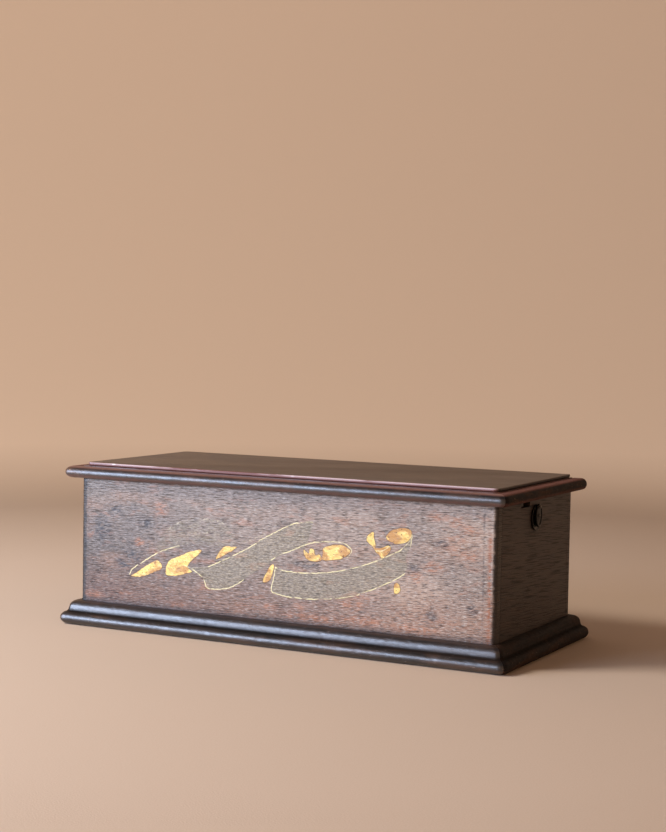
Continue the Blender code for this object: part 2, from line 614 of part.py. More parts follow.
def build_barrel():
    """Going barrel: the drum turns with its toothed rim, round an arbor that the key winds."""
    drum_pivot = pivot_at("barrel_axis", BARREL_X[0], *BARREL_AXIS)
    left, right = BARREL_X
    cup = [
        (ARBOR_RADIUS + GAP, 102.6), (BARREL_RADIUS, 102.6), (BARREL_RADIUS, right),
        (BARREL_RADIUS - 1.6, right), (BARREL_RADIUS - 1.6, left), (ARBOR_RADIUS + GAP, left),
    ]
    drum = add_piece("barrel_drum", turned("X", BARREL_AXIS, cup, 32), "brass", drum_pivot, smooth=True)
    cover = sleeve("X", BARREL_AXIS, ARBOR_RADIUS + GAP, BARREL_RADIUS - 1.6 - GAP, (right - 2.0, right), 32)
    add_piece("barrel_cover", cover, "brass", drum_pivot, smooth=True)
    module = 2 * math.dist(CYLINDER_AXIS, BARREL_AXIS) / (BARREL_TEETH + CYLINDER_PINION_TEETH)
    _, phase = meshing_phases(CYLINDER_AXIS, BARREL_AXIS, BARREL_TEETH)
    teeth = gear_outline(BARREL_AXIS, BARREL_TEETH, module, phase, width=0.40)
    join(drum, prism("X", (102.6, left + 1.0), teeth, [circle(BARREL_AXIS, BARREL_RADIUS - 4, 24)]))
    add_piece("mainspring", spiral_strip(), "steel", drum_pivot)

    arbor_pivot = pivot_at("barrel_arbor_axis", 180, *BARREL_AXIS)
    arbor = [(0, 98.5), (2.4, 98.5), (2.4, 102.2), (ARBOR_RADIUS, 102.2), (ARBOR_RADIUS, 186), (0, 186)]
    add_piece("barrel_arbor", turned("X", BARREL_AXIS, arbor, 16), "steel", arbor_pivot, smooth=True)
    bore = [circle(BARREL_AXIS, ARBOR_RADIUS + GAP, 12)]
    ratchet = prism("X", (170.5, 174.0), ratchet_outline(BARREL_AXIS, RATCHET_TEETH, 13.5, 16.0), bore)
    add_piece("ratchet_wheel", ratchet, "steel", arbor_pivot)
    winding_module = 2 * math.dist(WINDING_AXIS, BARREL_AXIS) / (WINDING_WHEEL_TEETH + WINDING_PINION_TEETH)
    pinion_phase, wheel_phase = meshing_phases(WINDING_AXIS, BARREL_AXIS, WINDING_WHEEL_TEETH)
    wheel = gear_outline(BARREL_AXIS, WINDING_WHEEL_TEETH, winding_module, wheel_phase, width=0.40)
    spokes = [spoke_hole(BARREL_AXIS, 9, 25, i, 4) for i in range(4)]
    add_piece("winding_wheel", prism("X", (178.0, 182.0), wheel, bore + spokes), "brass", arbor_pivot)

    key_pivot = pivot_at("winding_axis", 200, *WINDING_AXIS)
    round_part = rod("X", WINDING_AXIS, ARBOR_RADIUS, (160.5, 215.0))
    winding_arbor = add_piece("winding_arbor", round_part, "steel", key_pivot, smooth=True)
    pinion = gear_outline(WINDING_AXIS, WINDING_PINION_TEETH, winding_module, pinion_phase, width=0.40)
    join(winding_arbor, prism("X", (177.0, 183.0), pinion))
    square = 2.5
    y, z = WINDING_AXIS
    join(winding_arbor, block((213.0, 222.0), (y - square, y + square), (z - square, z + square)))
    bush = sleeve("X", WINDING_AXIS, ARBOR_RADIUS + GAP, 5.0, (161.0, 169.5), 16)
    add_piece("winding_bush", bush, "brass", smooth=True)

    bridge("barrel_bridge_left", (98.0 + GAP, 101.2), BARREL_AXIS, 6.0, 2.7)
    bridge("barrel_bridge_right", (152.5, 156.5), BARREL_AXIS, 7.0, ARBOR_RADIUS + GAP)
    build_click()


def spiral_strip():
    """Mainspring: a flat strip coiled between the arbor and the drum wall."""
    turns, per_turn = 5, 14
    inner, outer, half_thick = 7.0, BARREL_RADIUS - 3.2, 0.45
    span = (BARREL_X[0] + 4.0, BARREL_X[1] - 4.0)
    count = turns * per_turn
    outside, inside = [], []
    for i in range(count + 1):
        angle = math.tau * i / per_turn
        radius = inner + (outer - inner) * i / count
        outside.append(polar(BARREL_AXIS, radius + half_thick, angle))
        inside.append(polar(BARREL_AXIS, radius - half_thick, angle))
    return prism("X", span, outside + inside[::-1])


def build_click():
    """Pawl beside the ratchet, drawn just clear of its teeth, on a shouldered screw in the partition."""
    centre = (BARREL_AXIS[0] + 6.0, BARREL_AXIS[1] - 26.0)
    pivot = pivot_at("click_axis", 172, *centre)
    tip = (BARREL_AXIS[0] + 13.5, BARREL_AXIS[1] - 9.6)
    outline = arc(centre, 4.0, 190, 350, 6)
    outline += [(tip[0] + 1.4, tip[1] - 1.6), tip, (tip[0] - 2.6, tip[1] - 2.9)]
    outline.append((centre[0] - 2.6, centre[1] + 6.0))
    click = prism("X", (170.5, 173.5), outline, [circle(centre, 2.0, 10)])
    add_piece("click", click, "steel", pivot)
    shank = [(0, 168.3), (1.7, 168.3), (1.7, 173.8), (3.4, 173.8), (3.4, 175.6), (0, 175.6)]
    add_piece("click_screw", turned("X", centre, shank, 12), "steel")


def build_comb():
    """Steel comb: narrow teeth reach the drum from a solid back screwed to the comb base."""
    x = (-CYLINDER_HALF + 2.0, CYLINDER_HALF - 2.0)
    back, root, tip = -38.0, -16.0, CYLINDER_AXIS[0] - CYLINDER_RADIUS - 1.0
    pitch = (x[1] - x[0]) / COMB_TEETH
    slot = 0.28 * pitch
    outline = [(x[1], back), (x[1], tip)]
    for i in range(COMB_TEETH - 1):
        middle = x[1] - (i + 1) * pitch
        right, left = middle + slot / 2, middle - slot / 2
        outline += [(right, tip), (right, root), (left, root), (left, tip)]
    outline += [(x[0], tip), (x[0], back)]
    z = CYLINDER_AXIS[1]
    add_piece("comb", prism("Z", (z, z + 2.4), outline), "steel")
    base = block(x, (back - 2, root - 1), (SEAT, z - GAP))
    add_piece("comb_base", base, "bedplate_paint")


def worm_mesh():
    """Two-start endless screw: a lobed section turned as it rises, on a plain spindle."""
    mesh = bmesh.new()
    section = 12
    lead = WORM_STARTS * math.pi * GOVERNOR_MODULE
    bottom, top, layers = GOVERNOR_AXIS[1] - 6.0, GOVERNOR_AXIS[1] + 6.0, 20
    root, tip = 2.5, 4.2
    rings = []
    for k in range(layers + 1):
        z = bottom + (top - bottom) * k / layers
        turn = math.pi / 2 + math.tau * (z - GOVERNOR_AXIS[1]) / lead
        ring = []
        for i in range(section):
            angle = math.tau * i / section
            crest = max(0.0, (math.cos(WORM_STARTS * angle) - 0.35) / 0.65)
            radius = root + (tip - root) * crest
            x = FLY_X + radius * math.cos(angle + turn)
            y = FLY_Y + radius * math.sin(angle + turn)
            ring.append(mesh.verts.new((x, y, z)))
        rings.append(ring)
    for low, high in zip(rings, rings[1:]):
        for i in range(section):
            mesh.faces.new((low[i - 1], low[i], high[i], high[i - 1]))
    mesh.faces.new(rings[0])
    mesh.faces.new(rings[-1][::-1])
    return mesh


def build_governor():
    pivot = pivot_at("governor_axis", FLY_X, *GOVERNOR_AXIS)
    arbor = [(0, -132.5), (1.0, -132.5), (1.0, -129.5), (1.5, -129.5), (1.5, -98.0), (0, -98.0)]
    governor_arbor = add_piece("governor_arbor", turned("X", GOVERNOR_AXIS, arbor, 12), "steel", pivot)
    bore = [circle(GOVERNOR_AXIS, 1.5 + GAP, 10)]
    great_module = 2 * GOVERNOR_DISTANCE / (GREAT_TEETH + GOVERNOR_PINION_TEETH)
    phase, _ = meshing_phases(GOVERNOR_AXIS, CYLINDER_AXIS, GREAT_TEETH)
    pinion = gear_outline(GOVERNOR_AXIS, GOVERNOR_PINION_TEETH, great_module, phase, width=0.38)
    join(governor_arbor, prism("X", (-102.5, -98.3), pinion))
    # A gap of the wheel faces the screw at rest, where a thread stands at the wheel's middle height.
    wheel = gear_outline(
        GOVERNOR_AXIS, GOVERNOR_TEETH, GOVERNOR_MODULE, math.pi + math.pi / GOVERNOR_TEETH,
        root_share=1.2, tip_share=0.55, width=0.30,
    )
    spokes = [spoke_hole(GOVERNOR_AXIS, 5, 16, i, 4) for i in range(4)]
    governor_wheel = prism("X", (FLY_X - 0.9, FLY_X + 0.9), wheel, bore + spokes)
    add_piece("governor_wheel", governor_wheel, "brass", pivot)

    fly_pivot = pivot_at("fly_axis", FLY_X, FLY_Y, GOVERNOR_AXIS[1])
    worm = add_piece("endless_screw", worm_mesh(), "steel", fly_pivot)
    join(worm, rod("Z", (FLY_X, FLY_Y), 1.2, (49.5, 106.0), 10))
    hub = sleeve("Z", (FLY_X, FLY_Y), 1.2 + GAP, 2.6, (93.5, 105.5), 12)
    fly = add_piece("fly", hub, "brass", fly_pivot)
    for side in (-1, 1):
        reach = sorted((FLY_X + side * 2.0, FLY_X + side * FLY_RADIUS))
        join(fly, block(reach, (FLY_Y - 0.3, FLY_Y + 0.3), (94.0, 105.0)))

    frame = add_piece(
        "governor_frame", block((-134.0, -105.0), (-19.0, 24.0), (SEAT, SEAT + 3.0)), "brass"
    )
    y = GOVERNOR_AXIS[0]
    for x, bearing in (((-108.0, -105.0), 1.5 + GAP), ((-134.0, -131.0), 1.0 + GAP)):
        upright = rectangle((y - 6, y + 6), (SEAT + 2.0, GOVERNOR_AXIS[1] + 6))
        join(frame, prism("X", x, upright, [circle(GOVERNOR_AXIS, bearing, 10)]))
    join(frame, block((FLY_X - 4, FLY_X + 4), (FLY_Y - 4, FLY_Y + 4), (SEAT + 2.0, 49.0)))
    post = block((FLY_X - 4, FLY_X + 4), (FLY_Y - 14.5, FLY_Y - 9.0), (SEAT + 3.0 + GAP, 92.0))
    cock = add_piece("governor_cock", post, "brass")
    arm = prism(
        "Z", (88.5, 92.0), rectangle((FLY_X - 4, FLY_X + 4), (FLY_Y - 10, FLY_Y + 4)),
        [circle((FLY_X, FLY_Y), 1.2 + GAP, 10)],
    )
    join(cock, arm)


def build_stop_lever():
    """Rocking shaft under the bedplate: its right arm reaches the notch, its left arm the fly."""
    y, z = ROCKER_AXIS
    pivot = pivot_at("stop_lever_axis", 0, y, z)
    shaft = add_piece("stop_lever", rod("X", ROCKER_AXIS, 2.5, (-157.0, 211.0), 12), "black_iron", pivot)
    tab_z = (BODY_TOP - NOTCH_DEPTH + 1.4, BODY_TOP - 0.9)
    join(shaft, block((206.0, 209.0), (y - 3, y + 3), (z - 4, tab_z[1])))
    join(shaft, block((207.0, HALF_W - 1.0), (y - 2.6, y + 2.6), tab_z))
    join(shaft, block((-157.0, -154.0), (y - 3, y + 3), (z - 4, 101.0)))
    join(shaft, block((-156.0, FLY_X + 3), (y - 1.5, y + 1.5), (97.5, 101.0)))
    join(shaft, block((FLY_X - 3, FLY_X + 3), (y - 1.5, y + 5.5), (98.0, 100.5)))
    outline = rectangle((y - 6, y + 6), (FLOOR_Z, z + 5))
    bearing = prism("X", (-146.0, -142.0), outline, [circle(ROCKER_AXIS, 2.8, 12)])
    add_piece("stop_lever_bracket", bearing, "brass")


def main():
    clear_scene()
    make_materials()
    build_case()
    build_partitions()
    lid_pivot = build_lid()
    build_hinges(lid_pivot)
    build_inner_lid()
    build_winding_cover()
    build_bedplate()
    build_cylinder()
    build_barrel()
    build_comb()
    build_governor()
    build_stop_lever()


main()
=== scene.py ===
"""Key-wound musical box in a dark wooden case: its looks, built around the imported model."""

import logging
import math
from dataclasses import dataclass, field
from enum import Enum
from functools import partial
from typing import Any, Callable, Optional, Sequence

import bpy
import numpy as np
from mathutils import Matrix, Vector


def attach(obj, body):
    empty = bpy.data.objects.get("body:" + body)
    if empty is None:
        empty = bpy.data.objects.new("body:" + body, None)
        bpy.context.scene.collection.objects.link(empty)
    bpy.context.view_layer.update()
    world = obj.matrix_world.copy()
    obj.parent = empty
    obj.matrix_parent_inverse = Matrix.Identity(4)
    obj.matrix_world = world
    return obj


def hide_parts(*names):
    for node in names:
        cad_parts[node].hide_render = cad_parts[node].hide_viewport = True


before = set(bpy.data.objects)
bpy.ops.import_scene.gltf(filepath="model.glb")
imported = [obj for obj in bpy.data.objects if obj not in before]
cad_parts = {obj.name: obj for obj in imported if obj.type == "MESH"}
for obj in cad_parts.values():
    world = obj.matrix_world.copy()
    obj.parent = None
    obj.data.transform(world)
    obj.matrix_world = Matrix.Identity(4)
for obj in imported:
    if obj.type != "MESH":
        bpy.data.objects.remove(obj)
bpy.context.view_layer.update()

MM = 0.001
LOG = logging.getLogger("musical_box")
Piece = bpy.types.Object
Tree = bpy.types.NodeTree
Socket = bpy.types.NodeSocket


class Axis(Enum):
    """Direction that a shape is drawn out along."""

    X = 0
    Y = 1
    Z = 2


# ---------------------------------------------------------------- shapes


def arc(centre: Sequence[float], radius: float, start: float, end: float, steps: int) -> np.ndarray:
    """Points of a circular arc: centre + radius (cos a, sin a), a from start to end.

    Args:
        centre: Middle of the arc, mm.
        radius: Radius, mm.
        start: First angle, degrees.
        end: Last angle, degrees.
        steps: Number of intervals.

    Returns:
        An array of steps + 1 points.
    """
    angle = np.radians(np.linspace(start, end, steps + 1))
    return np.stack([centre[0] + radius * np.cos(angle), centre[1] + radius * np.sin(angle)], -1)


def smooth_curve(points: Sequence[Sequence[float]], closed: bool = False, steps: int = 8) -> np.ndarray:
    """Catmull-Rom curve: on each span (2b + (c-a)t + (2a-5b+4c-d)t2 + (3b-a-3c+d)t3) / 2.

    Args:
        points: Points that the curve passes through, mm.
        closed: Whether the last point joins the first.
        steps: Points drawn for each span.

    Returns:
        The points of the curve in order.
    """
    knots = np.array(points, float)
    if closed:
        b = knots
        a, c, d = np.roll(b, 1, 0), np.roll(b, -1, 0), np.roll(b, -2, 0)
    else:
        padded = np.vstack([2 * knots[0] - knots[1], knots, 2 * knots[-1] - knots[-2]])
        a, b, c, d = padded[:-3], padded[1:-2], padded[2:-1], padded[3:]
    t = (np.arange(steps) / steps)[None, :, None]
    a, b, c, d = (v[:, None, :] for v in (a, b, c, d))
    spans = (2 * b + (c - a) * t + (2 * a - 5 * b + 4 * c - d) * t**2 + (3 * b - a - 3 * c + d) * t**3) / 2
    drawn = spans.reshape(-1, knots.shape[1])
    return drawn if closed else np.vstack([drawn, knots[-1]])


def value_noise(u: np.ndarray, v: np.ndarray, cell: float, seed: int) -> np.ndarray:
    """Smooth noise from -1 to 1: random numbers on a square lattice, blended by 3t2 - 2t3 between neighbours.

    Args:
        u: First coordinate of each point, mm.
        v: Second coordinate of each point, mm.
        cell: Width of a lattice square, mm.
        seed: Seed of the random numbers.

    Returns:
        One number for each point.
    """
    table = np.random.default_rng(seed).uniform(-1, 1, (64, 64))
    a, b = np.asarray(u) / cell, np.asarray(v) / cell
    i, j = np.floor(a).astype(int), np.floor(b).astype(int)
    s, t = a - i, b - j
    s, t = s * s * (3 - 2 * s), t * t * (3 - 2 * t)
    corner = [[table[(i + m) % 64, (j + n) % 64] for n in (0, 1)] for m in (0, 1)]
    near = corner[0][0] * (1 - t) + corner[0][1] * t
    far = corner[1][0] * (1 - t) + corner[1][1] * t
    return near * (1 - s) + far * s


def distance_to(points: np.ndarray, curve: np.ndarray) -> np.ndarray:
    """Shortest distance from each point to a polyline: the least over its straight pieces.

    Args:
        points: Points, one row each.
        curve: Corners of the polyline, one row each.

    Returns:
        One distance for each point.
    """
    nearest = np.full(len(points), np.inf)
    for start, end in zip(curve[:-1], curve[1:]):
        along = end - start
        share = np.clip((points - start) @ along / max(along @ along, 1e-9), 0, 1)
        nearest = np.minimum(nearest, np.linalg.norm(points - start - share[:, None] * along, axis=1))
    return nearest


def side_of(points: np.ndarray, curve: np.ndarray) -> np.ndarray:
    """Side of an open curve that each point lies on, -1 or 1, judged from the nearest step of the curve."""
    middle, step = (curve[1:] + curve[:-1]) / 2, np.diff(curve, axis=0)
    nearest = np.argmin(((points[:, None] - middle) ** 2).sum(-1), 1)
    way, offset = step[nearest], points - middle[nearest]
    return np.sign(way[:, 0] * offset[:, 1] - way[:, 1] * offset[:, 0])


def depth_inside(points: np.ndarray, outline: np.ndarray) -> np.ndarray:
    """Signed distance to a closed outline, positive inside, where a ray crosses it an odd number of times.

    Args:
        points: Points, one row each.
        outline: Corners of the closed outline.

    Returns:
        One signed distance for each point.
    """
    inside = np.zeros(len(points), bool)
    x, y = points.T
    for (x0, y0), (x1, y1) in zip(outline, np.roll(outline, -1, 0)):
        crosses = (y0 > y) != (y1 > y)
        inside ^= crosses & (x < (x1 - x0) * (y - y0) / (y1 - y0 if y1 != y0 else 1e-9) + x0)
    distance = distance_to(points, np.vstack([outline, outline[:1]]))
    return np.where(inside, distance, -distance)


def outward(loop: np.ndarray) -> np.ndarray:
    """Unit normals of an anticlockwise loop: the chord between both neighbours, turned a quarter to the right."""
    chord = np.roll(loop, -1, 0) - np.roll(loop, 1, 0)
    normal = np.stack([chord[:, 1], -chord[:, 0]], -1)
    return normal / np.maximum(np.linalg.norm(normal, axis=1, keepdims=True), 1e-9)


def rounded_box(x: Sequence[float], y: Sequence[float], radii: Sequence[float], steps: int = 8) -> np.ndarray:
    """Anticlockwise rectangle with a quarter circle at each corner, from front right.

    Args:
        x: Left and right, mm.
        y: Front and back, mm.
        radii: Corner radii from front right, anticlockwise, mm.
        steps: Intervals in each quarter circle.

    Returns:
        The corners of the outline.
    """
    signs = ((1, -1), (1, 1), (-1, 1), (-1, -1))
    middle, half = (np.mean(x), np.mean(y)), (np.ptp(x) / 2, np.ptp(y) / 2)
    corners = []
    for k, ((sx, sy), radius) in enumerate(zip(signs, radii)):
        centre = (middle[0] + sx * (half[0] - radius), middle[1] + sy * (half[1] - radius))
        corners.append(arc(centre, radius, 90 * k - 90, 90 * k, steps))
    return np.vstack(corners)


def subdivided(loop: np.ndarray, spacing: float) -> np.ndarray:
    """Closed loop with extra points along its straights, no further apart than the spacing."""
    following = np.roll(loop, -1, 0)
    counts = np.maximum(1, np.ceil(np.linalg.norm(following - loop, axis=1) / spacing).astype(int))
    start = np.repeat(loop, counts, 0)
    step = np.repeat((following - loop) / counts[:, None], counts, 0)
    order = np.arange(counts.sum()) - np.repeat(np.cumsum(counts) - counts, counts)
    return start + step * order[:, None]


def raise_to(loop: np.ndarray, level: float, axis: Axis) -> np.ndarray:
    """A flat loop (u, v) set at one level along an axis: (level, u, v), (u, level, v) or (u, v, level)."""
    return np.insert(loop, axis.value, level, axis=1)


def eased_rings(loop: np.ndarray, span: Sequence[float], ease: float, axis: Axis, steps: int = 3) -> np.ndarray:
    """Rings of a slab with rounded rims: at angle a the rim lies ease (1 - cos a) in and ease (1 - sin a) down.

    Args:
        loop: Anticlockwise outline, mm.
        span: Lower and upper level, mm.
        ease: Radius of the rounded rims, mm.
        axis: Direction of the thickness.
        steps: Intervals in each rounded rim.

    Returns:
        An array of rings of points.
    """
    angle = np.linspace(0, math.pi / 2, steps + 1)
    inset = ease * (1 - np.cos(angle))
    drop = ease * (1 - np.sin(angle))
    normal = outward(loop)
    lower = [raise_to(loop - normal * i, span[0] + d, axis) for i, d in zip(inset[::-1], drop[::-1])]
    upper = [raise_to(loop - normal * i, span[1] - d, axis) for i, d in zip(inset, drop)]
    return np.stack(lower + upper)


def lathe_rings(profile: np.ndarray, centre: Sequence[float], axis: Axis, steps: int,
                stretch: Sequence[float] = (1.0, 1.0)) -> np.ndarray:
    """Profile (radius, level) turned round an axis: (radius cos a, radius sin a) at each level.

    Args:
        profile: Radius and level of each point, mm.
        centre: Place of the axis in the plane across it, mm.
        axis: Direction of the axis.
        steps: Points round the axis.
        stretch: Scale of the two directions across the axis.

    Returns:
        One ring of points for each point of the profile.
    """
    angle = np.arange(steps) / steps * 2 * math.pi
    circle = np.stack([np.cos(angle) * stretch[0], np.sin(angle) * stretch[1]], -1)
    return np.stack([raise_to(circle * radius + np.array(centre), level, axis) for radius, level in profile])


def closed_surface(name: str, rings: np.ndarray, wrap: bool = False,
                   fields: Optional[dict[str, np.ndarray]] = None, crease: float = 38.0) -> Piece:
    """Skin over rings of points: ring k joined to ring k + 1, with flat ends, or its ends joined to each other.

    Its faces point outwards: their order is turned round where the enclosed volume comes out negative.

    Args:
        name: Name of the piece.
        rings: Points, ring by ring, mm, or several such sets of equal size for separate bodies.
        wrap: Whether the last ring joins the first.
        fields: Numbers for each point, by attribute name.
        crease: Angle past which an edge stays sharp, degrees.

    Returns:
        The new piece.
    """
    rings = rings if rings.ndim == 4 else rings[None]
    points = rings.reshape(-1, 3) * MM
    index = np.arange(len(points)).reshape(rings.shape[:3])
    low, high = (index, np.roll(index, -1, 1)) if wrap else (index[:, :-1], index[:, 1:])
    quads = np.stack([low, np.roll(low, -1, 2), np.roll(high, -1, 2), high], -1).reshape(-1, 4)
    ends = [] if wrap else [*index[:, 0, ::-1], *index[:, -1]]
    corner = points[quads]
    area = np.cross(corner[:, 2] - corner[:, 0], corner[:, 3] - corner[:, 1]) / 2
    volume = (corner.mean(1) * area).sum()
    for end in ends:
        rim = points[end] - points[end].mean(0)
        volume += points[end].mean(0) @ np.cross(rim, np.roll(rim, -1, 0)).sum(0) / 2
    if volume < 0:
        quads, ends = quads[:, ::-1], [end[::-1] for end in ends]
    mesh = bpy.data.meshes.new(name)
    mesh.from_pydata(points.tolist(), [], quads.tolist() + [end.tolist() for end in ends])
    mesh.polygons.foreach_set("use_smooth", np.ones(len(mesh.polygons), bool))
    mesh.set_sharp_from_angle(angle=math.radians(crease))
    for label, values in (fields or {}).items():
        layer = mesh.attributes.new(label, "FLOAT", "POINT")
        layer.data.foreach_set("value", np.asarray(values, np.float32).ravel())
    mesh.update()
    piece = bpy.data.objects.new(name, mesh)
    bpy.context.scene.collection.objects.link(piece)
    return piece


# ---------------------------------------------------------------- materials


def linear(colour: str) -> tuple[float, float, float, float]:
    """sRGB hex to linear light: c / 12.92 below 0.04045, else ((c + 0.055) / 1.055) to the power 2.4."""
    parts = [int(colour[k:k + 2], 16) / 255 for k in (1, 3, 5)]
    return (*(c / 12.92 if c <= 0.04045 else ((c + 0.055) / 1.055) ** 2.4 for c in parts), 1.0)


def add_node(tree: Tree, kind: str, feeds: Optional[dict[Any, Any]] = None,
             **settings: Any) -> bpy.types.Node:
    """Add one node with its settings and links.

    Args:
        tree: Node tree of the material.
        kind: Type of the node.
        feeds: Value, or output of another node, for each input by name or number.
        **settings: The node's own properties.

    Returns:
        The new node.
    """
    node = tree.nodes.new(kind)
    for key, value in settings.items():
        setattr(node, key, value)
    for key, value in (feeds or {}).items():
        if isinstance(value, Socket):
            tree.links.new(value, node.inputs[key])
        else:
            node.inputs[key].default_value = value
    return node


def marks(tree: Tree, size: Sequence[float], low: float, high: float, detail: float = 3.0, bend: float = 0.0,
          turn: Sequence[float] = (0, 0, 0), shift: float = 0.0) -> Socket:
    """Noise marks over Object coordinates, none below one value of the noise and full above another.

    Args:
        tree: Node tree of the material.
        size: Length of one mark along x, y and z, mm.
        low: Value of the noise where the marks begin.
        high: Value where they are full.
        detail: Octaves of the noise.
        bend: Distortion of the noise.
        turn: Turn of the pattern about each axis, degrees.
        shift: Offset that keeps one pattern apart from another.

    Returns:
        Strength of the marks, from 0 to 1.
    """
    place = add_node(tree, "ShaderNodeTexCoord").outputs["Object"]
    turned = add_node(tree, "ShaderNodeMapping", {"Vector": place, "Rotation": [math.radians(a) for a in turn]})
    scaled = add_node(tree, "ShaderNodeMapping", {"Vector": turned.outputs[0], "Location": (shift,) * 3,
                                                  "Scale": [1 / (s * MM) for s in size]})
    noise = add_node(tree, "ShaderNodeTexNoise", {"Vector": scaled.outputs[0], "Scale": 1.0, "Detail": detail,
                                                  "Distortion": bend, "Roughness": 0.55})
    return add_node(tree, "ShaderNodeMapRange", {"Value": noise.outputs[0], "From Min": low,
                                                 "From Max": high}).outputs[0]


def product(tree: Tree, *values: Any) -> Socket:
    """All the values multiplied together."""
    result = values[0]
    for value in values[1:]:
        result = add_node(tree, "ShaderNodeMath", {0: result, 1: value}, operation="MULTIPLY").outputs[0]
    return result


def painted(tree: Tree, base: Any, *coats: tuple[Any, ...]) -> Any:
    """A base colour with coats over it, each as strong as the product p of its patterns: colour (1 - p) + coat p.

    Args:
        tree: Node tree of the material.
        base: Hex colour or colour output underneath.
        *coats: For each coat, lowest first, its patterns and strengths and last its hex colour.

    Returns:
        The finished colour.
    """
    colour = linear(base) if isinstance(base, str) else base
    for *patterns, coat in coats:
        colour = add_node(tree, "ShaderNodeMix", {0: product(tree, *patterns), 6: colour, 7: linear(coat)},
                          data_type="RGBA").outputs[2]
    return colour


def summed(tree: Tree, *terms: tuple[Any, float]) -> Socket:
    """Weighted sum of several values, as a height for the surface."""
    total: Any = 0.0
    for value, weight in terms:
        total = add_node(tree, "ShaderNodeMath", {0: value, 1: weight, 2: total},
                         operation="MULTIPLY_ADD").outputs[0]
    return total


def carried(tree: Tree, name: str, start: float = 0.0, end: float = 1.0) -> Socket:
    """A number carried by the mesh under that name, faded from 0 at the start to 1 at the end."""
    number = add_node(tree, "ShaderNodeAttribute", attribute_name=name).outputs["Fac"]
    return add_node(tree, "ShaderNodeMapRange", {"Value": number, "From Min": start, "From Max": end}).outputs[0]


def stroke(tree: Tree, name: str, half: float, soft: float) -> Socket:
    """A line where a signed distance carried by the mesh passes zero: full within half - soft mm, gone at half."""
    number = add_node(tree, "ShaderNodeAttribute", attribute_name=name).outputs["Fac"]
    off = add_node(tree, "ShaderNodeMath", {0: number}, operation="ABSOLUTE").outputs[0]
    return add_node(tree, "ShaderNodeMapRange", {"Value": off, "From Min": half,
                                                 "From Max": half - soft}).outputs[0]


def fade_along(tree: Tree, axis: Axis, start: float, end: float, mirrored: bool = False) -> Socket:
    """A fade along one Object coordinate, metres, from 0 at the start to 1 at the end; mirrored, along its size."""
    place = add_node(tree, "ShaderNodeTexCoord").outputs["Object"]
    value = add_node(tree, "ShaderNodeSeparateXYZ", {0: place}).outputs[axis.value]
    if mirrored:
        value = add_node(tree, "ShaderNodeMath", {0: value}, operation="ABSOLUTE").outputs[0]
    return add_node(tree, "ShaderNodeMapRange", {"Value": value, "From Min": start, "From Max": end}).outputs[0]


@dataclass(frozen=True)
class Surface:
    """What a finish gives the shader: colour and roughness patterns, a height, and constants by socket name."""

    colour: Any
    roughness: Any
    height: Any
    relief: float
    constants: dict[str, Any]


@dataclass(frozen=True)
class Finish:
    """A finish of the box: its maker's name, its record slot and the pattern that paints it."""

    name: str
    slot: str
    pattern: Callable[[Tree], Surface]

    def material(self) -> bpy.types.Material:
        """The material of this finish, built on first use."""
        found = bpy.data.materials.get(self.name)
        if found:
            return found
        material = bpy.data.materials.new(self.name)
        material.use_nodes = True
        tree = material.node_tree
        tree.nodes.clear()
        surface = self.pattern(tree)
        feeds = {"Base Color": surface.colour, "Roughness": surface.roughness, **surface.constants}
        if surface.height is not None:
            bump = add_node(tree, "ShaderNodeBump", {"Height": surface.height, "Strength": 1.0,
                                                     "Distance": surface.relief * MM})
            feeds["Normal"] = bump.outputs[0]
        shader = add_node(tree, "ShaderNodeBsdfPrincipled", feeds)
        add_node(tree, "ShaderNodeOutputMaterial", {"Surface": shader.outputs[0]})
        return material

    def dress(self, piece: Piece) -> None:
        """Give a piece this finish alone."""
        piece.data.materials.clear()
        piece.data.materials.append(self.material())

    def dress_node(self, *names: str) -> None:
        """Give carried-over solids this finish."""
        for name in names:
            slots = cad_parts[name].data.materials
            if not len(slots):
                slots.append(self.material())
            for k in range(len(slots)):
                slots[k] = self.material()


@dataclass(frozen=True)
class Layer:
    """One noise pattern of a plain finish, and what it does to the colour, the roughness and the height."""

    size: tuple
    low: float
    high: float
    detail: float = 3.0
    shift: float = 0.0
    turn: tuple = (0, 0, 0)
    bend: float = 0.0
    strength: float = 0.0
    colour: str = "#000000"
    rough: float = 0.0
    height: float = 0.0


@dataclass(frozen=True)
class Layers:
    """A plain finish: a base colour, the layers over it, and its even roughness, relief in mm and constants."""

    base: str
    layers: tuple
    rough: float
    relief: float
    constants: dict = field(default_factory=dict)

    def __call__(self, tree: Tree) -> Surface:
        """Lay the marks of each layer over the base and add up roughness and height.

        Args:
            tree: Node tree of the material.

        Returns:
            The surface.
        """
        patterns = [marks(tree, one.size, one.low, one.high, one.detail, one.bend, one.turn, one.shift)
                    for one in self.layers]
        pairs = list(zip(patterns, self.layers))
        colour = painted(tree, self.base, *((p, one.strength, one.colour) for p, one in pairs if one.strength))
        rough = summed(tree, *((p, one.rough) for p, one in pairs if one.rough), (1.0, self.rough))
        height = summed(tree, *((p, one.height) for p, one in pairs if one.height))
        return Surface(colour, rough, height, self.relief, self.constants)


